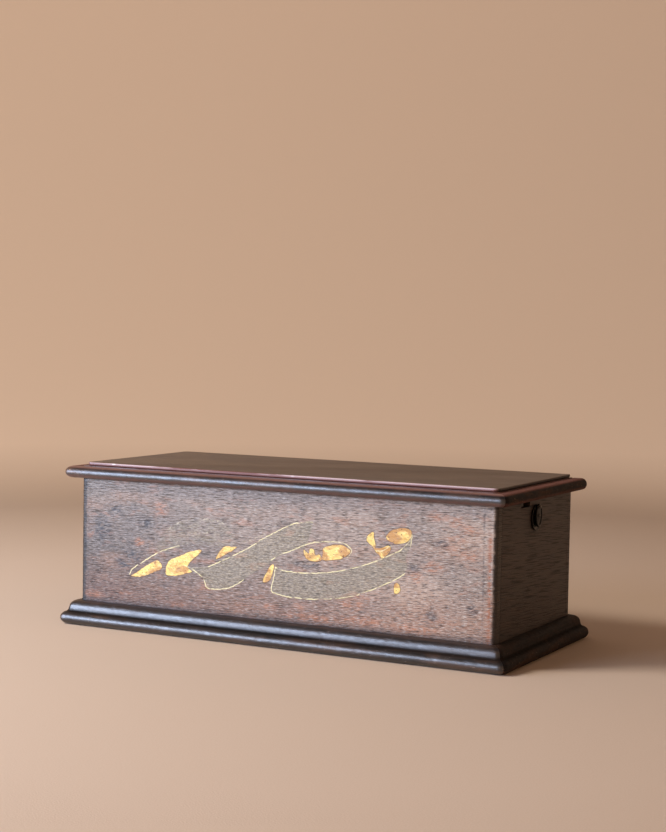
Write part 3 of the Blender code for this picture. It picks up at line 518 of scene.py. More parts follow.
def front_veneer(tree: Tree) -> Surface:
    """Worn shellac over stained walnut with brushed-on grain.

    Short level flecks, real ones about 0.4 mm high, drawn 1 mm high so that they show, pale grey (partly
    painted sheen) and near black over brown; a painted sheen paler towards the right and the top; orange
    where the stain has gone and blue black where it has pooled; painted shade just above the plinth; the
    ribbon a greyer, finer grain with a pale string line; the inlaid ends yellow maple scorched to brown.
    """
    tilt = (0, 2.0, 0)
    # broad tone: painted sheen paler to the right and towards the top; redder and darker low down
    cloud = marks(tree, (110, 100, 60), 0.35, 0.65, 2, shift=3.1)
    orange = marks(tree, (30, 100, 9), 0.58, 0.70, 4, 0.6, turn=tilt, shift=7.7)
    salmon = marks(tree, (70, 100, 24), 0.5, 0.72, 3, 0.4, turn=tilt, shift=1.3)
    stain = marks(tree, (26, 100, 15), 0.62, 0.74, 4, 0.3, turn=tilt, shift=12.9)
    torn = marks(tree, (9, 100, 3), 0.36, 0.56, 3, 0.4, turn=(0, 12, 0), shift=33)
    # right and top are painted light: the front is lightened towards the right and given a grey painted sheen
    # towards the top
    right = fade_along(tree, Axis.X, -0.21, 0.17)
    top, foot = fade_along(tree, Axis.Z, 0.03, 0.15), fade_along(tree, Axis.Z, 0.075, 0.03)
    bare, pooled = carried(tree, "bare"), carried(tree, "pooled")
    broad = painted(tree, "#3d2c1f", (right, "#b0947d"), (top, 0.6, "#8d8073"), (cloud, 0.5, "#4f4744"),
                    (salmon, 0.5, "#93694c"), (foot, 0.6, "#6d432b"), (orange, 0.35, "#a2633a"),
                    (bare, torn, 0.62, "#a86a42"), (stain, 0.5, "#2a2a30"), (pooled, torn, 0.85, "#1f2027"))
    dark = marks(tree, (7.5, 100, 1.0), 0.50, 0.66, 2, turn=tilt, shift=21)
    pale = marks(tree, (5.5, 100, 0.9), 0.49, 0.72, 4, turn=tilt, shift=31)
    pores = marks(tree, (22, 100, 1.0), 0.55, 0.68, 2, turn=tilt, shift=45)
    # the pale flecks are partly painted sheen on the raised grain, and their extra strength towards the right is
    # painted light
    wood = painted(tree, broad, (dark, 0.72, "#211813"),
                   (pale, summed(tree, (right, 0.42), (1.0, 0.32)), "#c0b6ab"), (pores, 0.6, "#17120f"))
    # ribbons of greyer veneer, the edge lost here and there; the left loop nearly gone
    speck = marks(tree, (3.2, 100, 1.1), 0.45, 0.66, 3, turn=tilt, shift=52)
    ribbon_tone = painted(tree, "#716754", (speck, "#a59a82"), (dark, 0.6, "#3b342b"), (orange, 0.3, "#a47a58"))
    veiled = product(tree, carried(tree, "veil", -2.0, 1.5), torn, 0.5)
    inlaid = summed(tree, (carried(tree, "ribbon", -0.3, 0.5), 0.72), (veiled, 1.0))
    mixed = add_node(tree, "ShaderNodeMix", {0: inlaid, 6: wood, 7: ribbon_tone}, data_type="RGBA").outputs[2]
    # string line, broken where it has fallen out
    gaps = marks(tree, (9, 100, 7), 0.38, 0.52, 3, shift=63)
    line = product(tree, stroke(tree, "line_side", 0.62, 0.4), carried(tree, "line", 1.1, 0.8), gaps)
    ghost = product(tree, carried(tree, "ghost", 1.2, 0.2),
                    marks(tree, (5, 100, 4), 0.5, 0.62, 2, shift=71), 0.55)
    # inlaid ends: yellow maple, scorched towards one side, dark pinholes
    gold = carried(tree, "gold", -0.25, 0.35)
    scorch = marks(tree, (13, 100, 10), 0.46, 0.60, 3, 0.5, turn=(0, 25, 0), shift=80)
    pin = marks(tree, (2.6, 100, 1.8), 0.60, 0.68, 2, shift=88)
    streak = marks(tree, (5, 100, 1.6), 0.5, 0.7, 2, turn=(0, -35, 0), shift=97)
    gold_tone = painted(tree, "#e0bd66", (streak, 0.6, "#f2e29c"), (scorch, 0.7, "#96582c"), (pin, 0.8, "#4a2d1c"))
    mixed = add_node(tree, "ShaderNodeMix", {0: gold, 6: mixed, 7: gold_tone}, data_type="RGBA").outputs[2]
    rim = product(tree, stroke(tree, "gold", 0.6, 0.5), 0.65)
    # the darkening just above the plinth, from z 31 down to 25 mm, is painted shade where the board meets the
    # plinth
    colour = painted(tree, mixed, (line, 0.9, "#ddd29c"), (ghost, "#c9bfa2"), (rim, "#4d3324"),
                     (carried(tree, "strip"), torn, 0.9, "#8c522e"),
                     (fade_along(tree, Axis.Z, 0.031, 0.025), 0.6, "#221915"), (carried(tree, "mark"), "#241e1e"),
                     (carried(tree, "edge"), "#120d0b"))
    height = summed(tree, (pores, -1.0), (dark, -0.5), (pale, 0.35), (gold, 0.4))
    gloss = summed(tree, (pale, -0.12), (dark, 0.14), (1.0, 0.46))
    return Surface(colour, gloss, height, 0.16, {"Specular IOR Level": 0.5})


def ebonised(tree: Tree, shine: float = 1.0) -> Surface:
    """Ebonised beech, French polished and rubbed by hands.

    Near black with brown where the stain has worn through, a soft gloss broken by fine grain lines,
    grime and painted shade darkening the hollows, and small bare chips on the proud edges. The red ledge of
    the lid keeps its stain.
    With less shine the polish has gone and dust lies on it.
    """
    grain = marks(tree, (24, 24, 1.6), 0.40, 0.66, 4, shift=5)
    rubbed = marks(tree, (34, 34, 6), 0.46, 0.64, 4, 0.4, shift=9)
    chips = marks(tree, (3.0, 3.0, 1.6), 0.66, 0.70, 3, shift=14)
    haze = marks(tree, (5.0, 5.0, 2.2), 0.42, 0.66, 3, shift=19)
    wear, ledge, grime_and_shade = (carried(tree, name) for name in ("wear", "ledge", "grime_and_shade"))
    # the dark coat in the plinth's hollow, which also loses its polish there, is partly grime and partly painted
    # shade in the recess
    colour = painted(tree, "#130f0d", (grain, 0.5, "#2a1c14"), (ledge, 0.75, "#7a4f46"),
                     (rubbed, wear, 0.75, "#5b3c26"), (haze, 0.15, "#2c2c30"), (chips, wear, 0.8, "#9a7f66"),
                     (grime_and_shade, 0.8, "#0d0b0a"))
    height = summed(tree, (grain, 0.5), (haze, 0.5), (chips, -1.2))
    gloss = summed(tree, (haze, 0.12), (rubbed, 0.06), (ledge, 0.1), (1.0, 0.62 - 0.26 * shine))
    polish, coat = 0.15 + 0.55 * shine, 0.6 * shine
    return Surface(colour, gloss, height, 0.10, {
        "Specular IOR Level": summed(tree, (grime_and_shade, -0.85 * polish), (1.0, polish)),
        "Coat Weight": summed(tree, (grime_and_shade, -0.95 * coat), (1.0, coat)), "Coat Roughness": 0.36})


def lid_veneer(tree: Tree) -> Surface:
    """Old walnut top under thin wax, dulled by dust.

    Soft brown grey with long straight grain, a redder rim where handling has kept the stain fresh,
    white chips along the front arris, and its end edges painted near black as shade.
    """
    grain = marks(tree, (90, 3.0, 20), 0.38, 0.64, 5, 0.3, shift=4)
    fine = marks(tree, (22, 1.1, 20), 0.45, 0.68, 3, shift=8)
    bloom = marks(tree, (90, 60, 40), 0.4, 0.62, 3, shift=11)
    front = fade_along(tree, Axis.Y, -0.0895, -0.0922)
    # the panel's end edges below its top are painted near black: painted shade of the gap under them
    side = product(tree, fade_along(tree, Axis.X, 0.2272, 0.2280, True), fade_along(tree, Axis.Z, 0.1660, 0.1654))
    rim = fade_along(tree, Axis.Z, 0.1645, 0.1658)
    chips = product(tree, marks(tree, (16, 9.0, 9.0), 0.64, 0.69, 4, shift=17), front, rim)
    worn = product(tree, marks(tree, (60, 9.0, 9.0), 0.36, 0.5, 3, shift=23), front, rim)
    colour = painted(tree, "#483a2f", (grain, 0.75, "#6c5a4b"), (fine, 0.6, "#32271f"), (bloom, 0.25, "#6d5d52"),
                     (side, 0.9, "#120d0a"), (front, 0.8, "#703f38"), (worn, 0.75, "#c6b0ae"),
                     (chips, 0.85, "#d9d2d0"))
    height = summed(tree, (grain, 0.5), (fine, -0.6))
    gloss = summed(tree, (grain, 0.08), (bloom, 0.1), (1.0, 0.4))
    return Surface(colour, gloss, height, 0.08, {"Specular IOR Level": 0.5})


def end_wood(tree: Tree) -> Surface:
    """Stained oak boards, open grained.

    Dark reddish brown with close level pore lines, real ones 0.3 mm high, drawn 1.1 mm high so that they
    show, and a few long slanting figure lines.
    """
    figure = marks(tree, (120, 120, 4.0), 0.42, 0.62, 4, 0.2, turn=(5, 3, 0), shift=3)
    pores = marks(tree, (34, 34, 1.0), 0.48, 0.64, 2, turn=(4, 2, 0), shift=9)
    glint = marks(tree, (24, 24, 1.3), 0.55, 0.72, 3, turn=(4, 2, 0), shift=15)
    blush = marks(tree, (60, 60, 34), 0.42, 0.64, 3, shift=21)
    colour = painted(tree, "#231811", (figure, 0.5, "#352116"), (blush, 0.5, "#2f241b"), (pores, 0.8, "#110c09"),
                     (glint, 0.4, "#5a4535"), (fade_along(tree, Axis.Y, -0.082, -0.091), 0.75, "#0b0807"))
    height = summed(tree, (pores, -1.0), (glint, 0.3))
    gloss = summed(tree, (pores, 0.2), (1.0, 0.42))
    return Surface(colour, gloss, height, 0.12, {"Specular IOR Level": 0.4})


def card(tree: Tree) -> Surface:
    """Cream pasteboard, printed with a plain double rule.

    Yellowed towards its edges with brown foxing spots, matt.
    """
    half_size = (0.080, 0.045)
    rule_inset_and_half = ((0.0052, 0.0006), (0.0072, 0.0003))
    place = add_node(tree, "ShaderNodeTexCoord").outputs["Object"]
    gaps = []
    for part, half in zip(add_node(tree, "ShaderNodeSeparateXYZ", {0: place}).outputs, half_size):
        away = add_node(tree, "ShaderNodeMath", {0: part}, operation="ABSOLUTE").outputs[0]
        gaps.append(add_node(tree, "ShaderNodeMath", {0: half, 1: away}, operation="SUBTRACT").outputs[0])
    edge = add_node(tree, "ShaderNodeMath", {0: gaps[0], 1: gaps[1]}, operation="MINIMUM").outputs[0]
    rules = []
    for middle, half in rule_inset_and_half:
        off = add_node(tree, "ShaderNodeMath", {0: edge, 1: middle}, operation="SUBTRACT").outputs[0]
        off = add_node(tree, "ShaderNodeMath", {0: off}, operation="ABSOLUTE").outputs[0]
        rule = add_node(tree, "ShaderNodeMapRange", {"Value": off, "From Min": half, "From Max": half * 0.6})
        rules.append((rule.outputs[0], 0.75, "#5a4a6a"))
    foxing = marks(tree, (9, 9, 9), 0.6, 0.74, 4, shift=5)
    yellow = add_node(tree, "ShaderNodeMapRange", {"Value": edge, "From Min": 0.02, "From Max": 0.0}).outputs[0]
    colour = painted(tree, "#e3d5b4", (yellow, 0.5, "#c3a878"), (foxing, 0.5, "#a27c4e"), *rules)
    fibre = marks(tree, (1.2, 1.2, 1.2), 0.3, 0.7, 2, shift=15)
    return Surface(colour, 0.8, fibre, 0.02, {"Specular IOR Level": 0.2})


def paper(tree: Tree) -> Surface:
    """Seamless background paper, matt.

    Warm tan with a barely visible tooth; painted shade darkens it from where the floor turns up, and the
    rising wall glows, a painted light that fades towards the right.
    """
    place = add_node(tree, "ShaderNodeTexCoord").outputs["Object"]
    x, y, _ = add_node(tree, "ShaderNodeSeparateXYZ", {0: place}).outputs
    tooth = marks(tree, (1.6, 1.6, 1.6), 0.3, 0.7, 2)
    across = summed(tree, (x, 0.885), (y, 0.466))
    square = summed(tree, (product(tree, x, x), 1.0), (product(tree, y, y), 1.0))
    far = add_node(tree, "ShaderNodeMath", {0: square}, operation="SQRT").outputs[0]
    # turn lays painted shade from where the floor turns up; rise and side shape a painted glow on the wall,
    # brighter to the left
    turn = add_node(tree, "ShaderNodeMapRange", {"Value": far, "From Min": 0.6, "From Max": 1.3}).outputs[0]
    rise = add_node(tree, "ShaderNodeMapRange", {"Value": far, "From Min": 1.2, "From Max": 2.1, "To Max": 0.47})
    side = add_node(tree, "ShaderNodeMapRange", {"Value": across, "From Min": -1.2, "From Max": 1.2,
                                                 "To Min": 1.1, "To Max": 0.75})
    colour = painted(tree, "#c6b09b", (tooth, 0.12, "#ab9076"), (turn, 0.3, "#8c7257"))
    painted_glow = product(tree, rise.outputs[0], side.outputs[0])
    return Surface(colour, 0.9, tooth, 0.05, {"Specular IOR Level": 0.1, "Emission Color": linear("#d2b49a"),
                                              "Emission Strength": painted_glow})


FRONT_VENEER = Finish("stained_walnut_front", "front_veneer", front_veneer)
EBONISED = Finish("ebonised_beech", "ebonised_wood", ebonised)
EBONISED_DULL = Finish("ebonised_beech_dull", "ebonised_wood", partial(ebonised, shine=0.0))
LID_VENEER = Finish("waxed_walnut_top", "lid_veneer", lid_veneer)
END_WOOD = Finish("stained_oak_boards", "end_wood", end_wood)
# bare sycamore, thinly varnished: honey brown with soft straight grain and darker pores
INNER_WOOD = Finish("varnished_sycamore", "inner_wood", Layers("#8a5d38", (
    Layer((70, 6.0, 5.0), 0.38, 0.64, 5, 2, (0, 2, 0), 0.4, 0.6, "#a2734a", rough=0.1, height=0.3),
    Layer((120, 70, 60), 0.4, 0.62, 2, 13, strength=0.35, colour="#6f472a"),
    Layer((14, 1.2, 1.2), 0.56, 0.68, 3, 6, (0, 2, 0), strength=0.55, colour="#57361e", height=-1.0)), 0.38, 0.06))
# edge-grain walnut of the lid board, stained red, with level streaks and dust
LID_EDGE = Finish("red_stained_walnut", "end_wood", Layers("#4a2c22", (
    Layer((30, 4, 1.4), 0.42, 0.64, 4, 3, strength=0.6, colour="#6b443a", rough=0.12, height=1.0),
    Layer((40, 30, 20), 0.42, 0.66, 3, 7, strength=0.35, colour="#5e4a3c")), 0.36, 0.06))
# forged iron blackened with oil: uneven satin, grey on rubbed rims, a trace of brown rust
BLACK_IRON = Finish("oil_blackened_iron", "black_iron", Layers("#121110", (
    Layer((3, 3, 3), 0.5, 0.68, 3, 4, strength=0.5, colour="#3c3a38", rough=0.2, height=1.0),
    Layer((5, 5, 5), 0.6, 0.72, 3, 9, strength=0.4, colour="#43281a")), 0.3, 0.05, {"Metallic": 0.75}))
# the same iron rubbed bright by handling, with oil in its hollows
BRIGHT_IRON = Finish("rubbed_iron", "black_iron", Layers("#5a5652", (
    Layer((1.6, 1.6, 1.6), 0.45, 0.68, 3, 6, strength=0.7, colour="#1d1b19", rough=0.2, height=1.0),),
    0.28, 0.03, {"Metallic": 0.9}))
# lacquered brass gone mellow: clouds of brown tarnish and dark specks
BRASS = Finish("lacquered_brass", "brass", Layers("#c9a45a", (
    Layer((16, 16, 16), 0.45, 0.68, 4, 3, strength=0.55, colour="#8a6a34", rough=0.2),
    Layer((2.2, 2.2, 2.2), 0.62, 0.72, 3, 7, strength=0.4, colour="#5c4324", height=1.0)),
    0.24, 0.02, {"Metallic": 1.0}))
# hardened and ground steel with a blue cast: fine grinding lines along x and faint brown spots
STEEL = Finish("blued_ground_steel", "steel", Layers("#8d9199", (
    Layer((26, 0.8, 0.8), 0.4, 0.62, 3, 5, strength=0.5, colour="#a9aeb6", rough=0.12, height=1.0),
    Layer((3, 3, 3), 0.63, 0.72, 3, 11, strength=0.5, colour="#5a4330", rough=0.3)), 0.22, 0.02, {"Metallic": 1.0}))
# screw steel heated to blue, straw coloured where the heat was less
BLUED_STEEL = Finish("blued_screw_steel", "steel", Layers("#2f3f6e", (
    Layer((3, 3, 3), 0.5, 0.7, 2, 2, strength=0.6, colour="#7a5f3a", rough=0.1, height=1.0),),
    0.2, 0.01, {"Metallic": 1.0}))
# pebbled cast iron under bronze lacquer, darker where the lacquer has thinned
BEDPLATE = Finish("bronze_lacquered_iron", "bedplate_paint", Layers("#8d7440", (
    Layer((2.4, 2.4, 2.4), 0.35, 0.7, 3, 2, strength=0.4, colour="#a58b52", height=1.0),
    Layer((22, 22, 22), 0.48, 0.66, 4, 8, strength=0.6, colour="#4f4028", rough=0.15)),
    0.38, 0.15, {"Metallic": 0.6}))
# hand-drawn window glass, faintly green, with a slow ripple and a little dust
GLASS = Finish("drawn_window_glass", "glass", Layers("#eef3ee", (
    Layer((45, 30, 45), 0.2, 0.8, 1, 1, height=1.0),
    Layer((7, 7, 7), 0.5, 0.75, 4, 6, rough=0.06)), 0.02, 0.05, {"Transmission Weight": 1.0, "IOR": 1.5}))
CARD = Finish("ruled_pasteboard", "card", card)
PAPER = Finish("tan_background_paper", "card", paper)


def settle(piece: Piece, body: str, finish: Finish, *nodes: str) -> Piece:
    """Dress a new piece and tie it to the model.

    Args:
        piece: The piece, in place.
        body: Body that it moves with.
        finish: Its finish.
        *nodes: Solids that it stands for.

    Returns:
        The same piece.
    """
    finish.dress(piece)
    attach(piece, body)
    if nodes:
        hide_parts(*nodes)
    LOG.info("%s: %d faces, rides on %s", piece.name, len(piece.data.polygons), body)
    return piece


# ---------------------------------------------------------------- case


@dataclass
class Inlay:
    """Ribbon inlay on the front board, drawn as smooth curves; x from the middle, z from the floor, mm."""

    banner: tuple = ((-100, 68), (-90, 64), (-82, 58.5), (-78, 50.5), (-71, 49), (-60, 50), (-48, 53.5), (-36, 61),
                     (-24, 69.5), (-10, 77), (0, 85), (10, 91.5), (20, 95), (32, 99), (38, 112), (40, 123.5),
                     (28, 122), (17, 119.5), (4, 113), (-14, 103.5), (-28, 94.5), (-41, 87.5), (-58, 79),
                     (-75, 71.5))
    scroll: tuple = ((0, 76.5), (10, 74), (29, 73.5), (48, 74.8), (71, 79), (99, 87.5), (120, 96.5), (134, 104),
                     (142, 112), (145, 119), (143, 106), (139.5, 98), (140.5, 89), (138, 82), (133, 78), (120, 71),
                     (101, 62.5), (79, 54.5), (50, 50), (30, 48.8), (14, 49), (4, 50.5), (-4, 53.5), (-2, 65))
    gold_pieces: tuple = (
        ((-168, 54), (-162, 58), (-147, 67.5), (-138, 72.5), (-133, 70.5), (-130.5, 66.5), (-132, 63.7),
         (-141, 59.6), (-156, 54)),
        ((-126, 58.5), (-125.5, 68), (-121, 74), (-111, 78.5), (-100, 83.5), (-87, 87), (-84.5, 85), (-94, 77),
         (-100.5, 69.5), (-98, 66.5), (-95.6, 64.3), (-105, 61), (-115, 58.4)),
        ((-67, 79), (-65.5, 84), (-58, 92.5), (-50, 92.8), (-43.5, 92.5), (-52, 87)),
        ((-14, 61.3), (-10.5, 70), (-4.5, 79), (-1.5, 78), (-3, 70), (-7, 62)),
        ((50.5, 88), (51.5, 94), (52, 99), (62, 103), (72, 104), (81, 99.5), (78, 94), (70, 90), (59, 88)),
        ((31, 97), (32.5, 89), (40, 85.5), (50, 87), (48.5, 93), (44, 92), (42, 97), (38, 98), (36, 93)),
        ((98, 110.5), (99, 115), (105, 119), (106, 113), (108, 104.5), (103.5, 105.5), (99, 109)),
        ((104, 105), (111, 103.7), (121, 107), (123.8, 103.8), (120, 98), (115.5, 94), (110.7, 97.5), (107, 101.5)),
        ((118.3, 113.7), (121, 119), (127.5, 123), (136, 124.6), (143, 123.3), (145, 119), (143, 114),
         (137, 110.3), (129.5, 109), (123, 110.5)),
        ((127.8, 72), (132.5, 72), (134.2, 66.5), (133, 63.5), (128, 62.5)),
    )
    strings: tuple = (
        ((-170, 56), (-165.5, 62), (-149, 72.5), (-133, 81.5), (-111, 89)),
        ((-104, 70), (-98, 68), (-90, 64), (-82, 58.5), (-78, 50.5), (-71, 49), (-60, 50), (-48, 53.5), (-36, 61)),
        ((-76, 71), (-58, 79), (-41, 87.5), (-28, 94.5), (-14, 103.5), (4, 113), (17, 119.5), (28, 122),
         (40, 123.5)),
        ((-5, 83), (5, 89.5), (16, 93.5), (30, 100), (45, 104.5), (60, 106), (74, 105.5), (82.5, 99.5), (78, 92.5)),
        ((0, 76.5), (10, 74), (29, 73.5), (48, 74.8), (71, 79), (99, 87.5), (120, 96.5), (134, 104), (142, 112),
         (145, 119), (144, 108)),
        ((138, 82), (133, 78), (120, 71), (101, 62.5), (79, 54.5), (50, 50), (30, 48.8), (14, 49), (4, 50.5),
         (-4, 53.5), (-2, 65), (0, 76)),
        ((109, 101), (115, 101.5), (122, 106), (129, 108), (138, 111)),
    )
    ghosts: tuple = (
        ((-124, 104), (-114, 111), (-98, 115.5), (-80, 118)), ((-80, 118), (-62, 116), (-52, 112), (-52, 105)),
        ((-94, 103), (-80, 104), (-66, 108)), ((-40, 97), (-20, 104), (0, 117)),
    )
    veil: tuple = ((-138, 82), (-126, 103), (-114, 111), (-98, 115.5), (-80, 118), (-62, 116), (-50, 108),
                   (-48, 94), (-62, 92), (-80, 93), (-100, 92), (-118, 85))

    def fields(self, x: np.ndarray, z: np.ndarray) -> dict[str, np.ndarray]:
        """Distances, in mm, from each point to the parts of the inlay.

        Args:
            x: Distance of each point from the middle, mm.
            z: Height of each point, mm.

        Returns:
            ribbon, veil and gold, positive inside; line and ghost, the distance to the nearest stroke; line_side,
            the same distance signed by the side of the stroke.
        """
        wobble = 0.35 * value_noise(x, z, 3.0, 5)
        points = np.stack([x + wobble, z + 0.35 * value_noise(x, z, 2.5, 6)], -1)
        ribbon = np.max([depth_inside(points, smooth_curve(c, True)) for c in (self.banner, self.scroll)], 0)
        gold = np.max([depth_inside(points, smooth_curve(c, True, 4)) for c in self.gold_pieces], 0)
        curves = [smooth_curve(c) for c in self.strings]
        lines = np.stack([distance_to(points, c) for c in curves])
        sides = np.stack([side_of(points, c) for c in curves])
        nearest = np.argmin(lines, 0)
        line = np.take_along_axis(lines, nearest[None], 0)[0]
        line_side = line * np.take_along_axis(sides, nearest[None], 0)[0]
        ghost = np.min([distance_to(points, smooth_curve(c)) for c in self.ghosts], 0)
        veil = depth_inside(points, smooth_curve(self.veil, True))
        return {"ribbon": ribbon, "veil": veil, "gold": gold, "line": line, "line_side": line_side, "ghost": ghost}


@dataclass
class Case:
    """The five boards of the case, mm."""

    half_width: float = 230.0
    half_depth: float = 97.5
    board: float = 11.0
    corner: float = 4.0
    height: tuple = (1.0, 150.0)
    inlay: Inlay = field(default_factory=Inlay)
    rubbed_strip: tuple = (223.6, 118.0)
    joint_x: tuple = (217.6, -221.7)
    joint_pitch: float = 4.4
    nail: tuple = (216.7, 140.4)
    bare: tuple = ((-219, 94, 4, 4), (-134, 124, 8, 7), (-159, 89, 6, 4), (-39, 85, 9, 3), (-212, 31, 9, 3),
                   (-4, 38, 8, 2.5), (27, 41, 7, 3), (-110, 29, 9, 3), (170, 137, 12, 4), (190, 134, 11, 5),
                   (203, 127, 10, 5), (168, 90, 12, 5), (149, 80, 8, 6), (84, 48, 13, 5), (96, 33, 26, 5),
                   (184, 109, 9, 3), (204, 103, 10, 4), (150, 30, 26, 5), (40, 30, 30, 4), (190, 118, 9, 3))
    pooled: tuple = ((-166, 74, 13, 9), (-178, 66, 10, 6), (-189, 120, 12, 7), (-151, 109, 9, 6), (34, 82, 14, 3.5),
                     (148, 87, 6, 3), (208, 53, 5, 5), (165, 44, 5, 6), (-205, 100, 12, 14), (175, 112, 9, 4),
                     (120, 108, 6, 3))

    def front_board(self) -> Piece:
        """Front board: its plan outline carried up its height, finely spaced over the inlay.

        The outline is a straight front with a quarter circle of the corner radius at each end; each level
        is one ring, and the face is dished inwards by at most 0.15 mm of slow noise.
        """
        w, d, r = self.half_width, self.half_depth, self.corner
        columns = np.concatenate([np.arange(-226, -174, 1.6), np.arange(-174, 150, 0.8), np.arange(150, 226, 1.6)])
        face = np.stack([columns, np.full(len(columns), -d)], -1)
        right = arc((w - r, r - d), r, -90, 0, 8)
        left = arc((r - w, r - d), r, 180, 270, 8)[:-1]
        back = np.array([(x, self.board - d) for x in (w, w - 40, 40 - w, -w)])
        loop = np.vstack([face, right, back, left])
        low, high = self.height
        levels = np.concatenate([[low, low + 0.15, low + 0.5], np.arange(3, 47, 2.0), np.arange(47, 127, 0.8),
                                 np.arange(127, high - 1, 2.0), [high - 0.5, high - 0.15, high]])
        inset = np.zeros(len(levels))
        inset[[0, -1]], inset[[1, -2]] = 0.5, 0.15
        rings = np.stack([raise_to(loop - outward(loop) * i, z, Axis.Z) for z, i in zip(levels, inset)])
        x, y, z = rings[..., 0], rings[..., 1], rings[..., 2]
        in_face = (y < -d + 0.6) & (np.abs(x) < w - r)
        rings[..., 1] += np.where(in_face, 0.075 * (1 + value_noise(x, z, 30, 3)), 0)
        x, z = x.ravel(), z.ravel()
        fields = self.inlay.fields(x, z)
        fields["mark"] = self.joint_marks(x, z)
        fields["bare"] = self.blots(x, z, self.bare)
        fields["pooled"] = self.blots(x, z, self.pooled)
        strip_x, strip_top = self.rubbed_strip
        fields["strip"] = np.exp(-(((x - strip_x) / 2.0) ** 2) - np.clip((z - strip_top) / 8, 0, None) ** 2)
        past = np.where(x < 0, -x - (w - r) + 3.2, x - (w - r)) + value_noise(x, z, 4, 9)
        fields["edge"] = np.clip(past / 2.0, 0, 1) * 0.9
        return settle(closed_surface("front_panel", rings, fields=fields), "case", FRONT_VENEER, "front_board")

    @staticmethod
    def blots(x: np.ndarray, z: np.ndarray, places: Sequence[Sequence[float]]) -> np.ndarray:
        """Soft ovals, each exp(-(u^2 + v^2)) of the shifted and scaled x and z, blurred at the rim by noise.

        Args:
            x: Distance of each point from the middle, mm.
            z: Height of each point, mm.
            places: Middle, half width and half height of each oval, mm.

        Returns:
            Strength at each point, from 0 to 1.
        """
        spots = np.array(places)[:, :, None]
        u, v = (x - spots[:, 0]) / spots[:, 2], (z - spots[:, 1]) / spots[:, 3]
        ragged = 0.6 * value_noise(x, z, 5, 61) + 0.4 * value_noise(x, z, 2, 62)
        return np.clip(np.exp(-(u ** 2 + v ** 2)).max(0) * (1.35 + ragged) - 0.12, 0, 1)

    def joint_marks(self, x: np.ndarray, z: np.ndarray) -> np.ndarray:
        """Dark glue dashes of the finger joints in a strip near each end, and one nail hole near the top."""
        beat = np.abs((z / self.joint_pitch) % 1 - 0.5) * 2
        drift = 0.4 * value_noise(x, z, 9, 31)
        strip = sum(np.exp(-(((x - middle + drift) / 0.8) ** 2)) for middle in self.joint_x)
        dash = np.clip(strip * np.clip(1.5 - 1.6 * beat + value_noise(x, z, 6, 12) * 0.5, 0, 1), 0, 1) * 0.6
        nail = np.clip(1.6 - np.hypot(x - self.nail[0], z - self.nail[1]), 0, 1) * 0.9
        return np.maximum(dash, nail)

    def build(self) -> None:
        """Make the front panel and dress the plain boards."""
        self.front_board()
        END_WOOD.dress_node("back_board", "left_end_board", "right_end_board")
        INNER_WOOD.dress_node("bottom_board")


SIDE_TURN = {"right": 0, "back": 90, "left": 180, "front": 270}


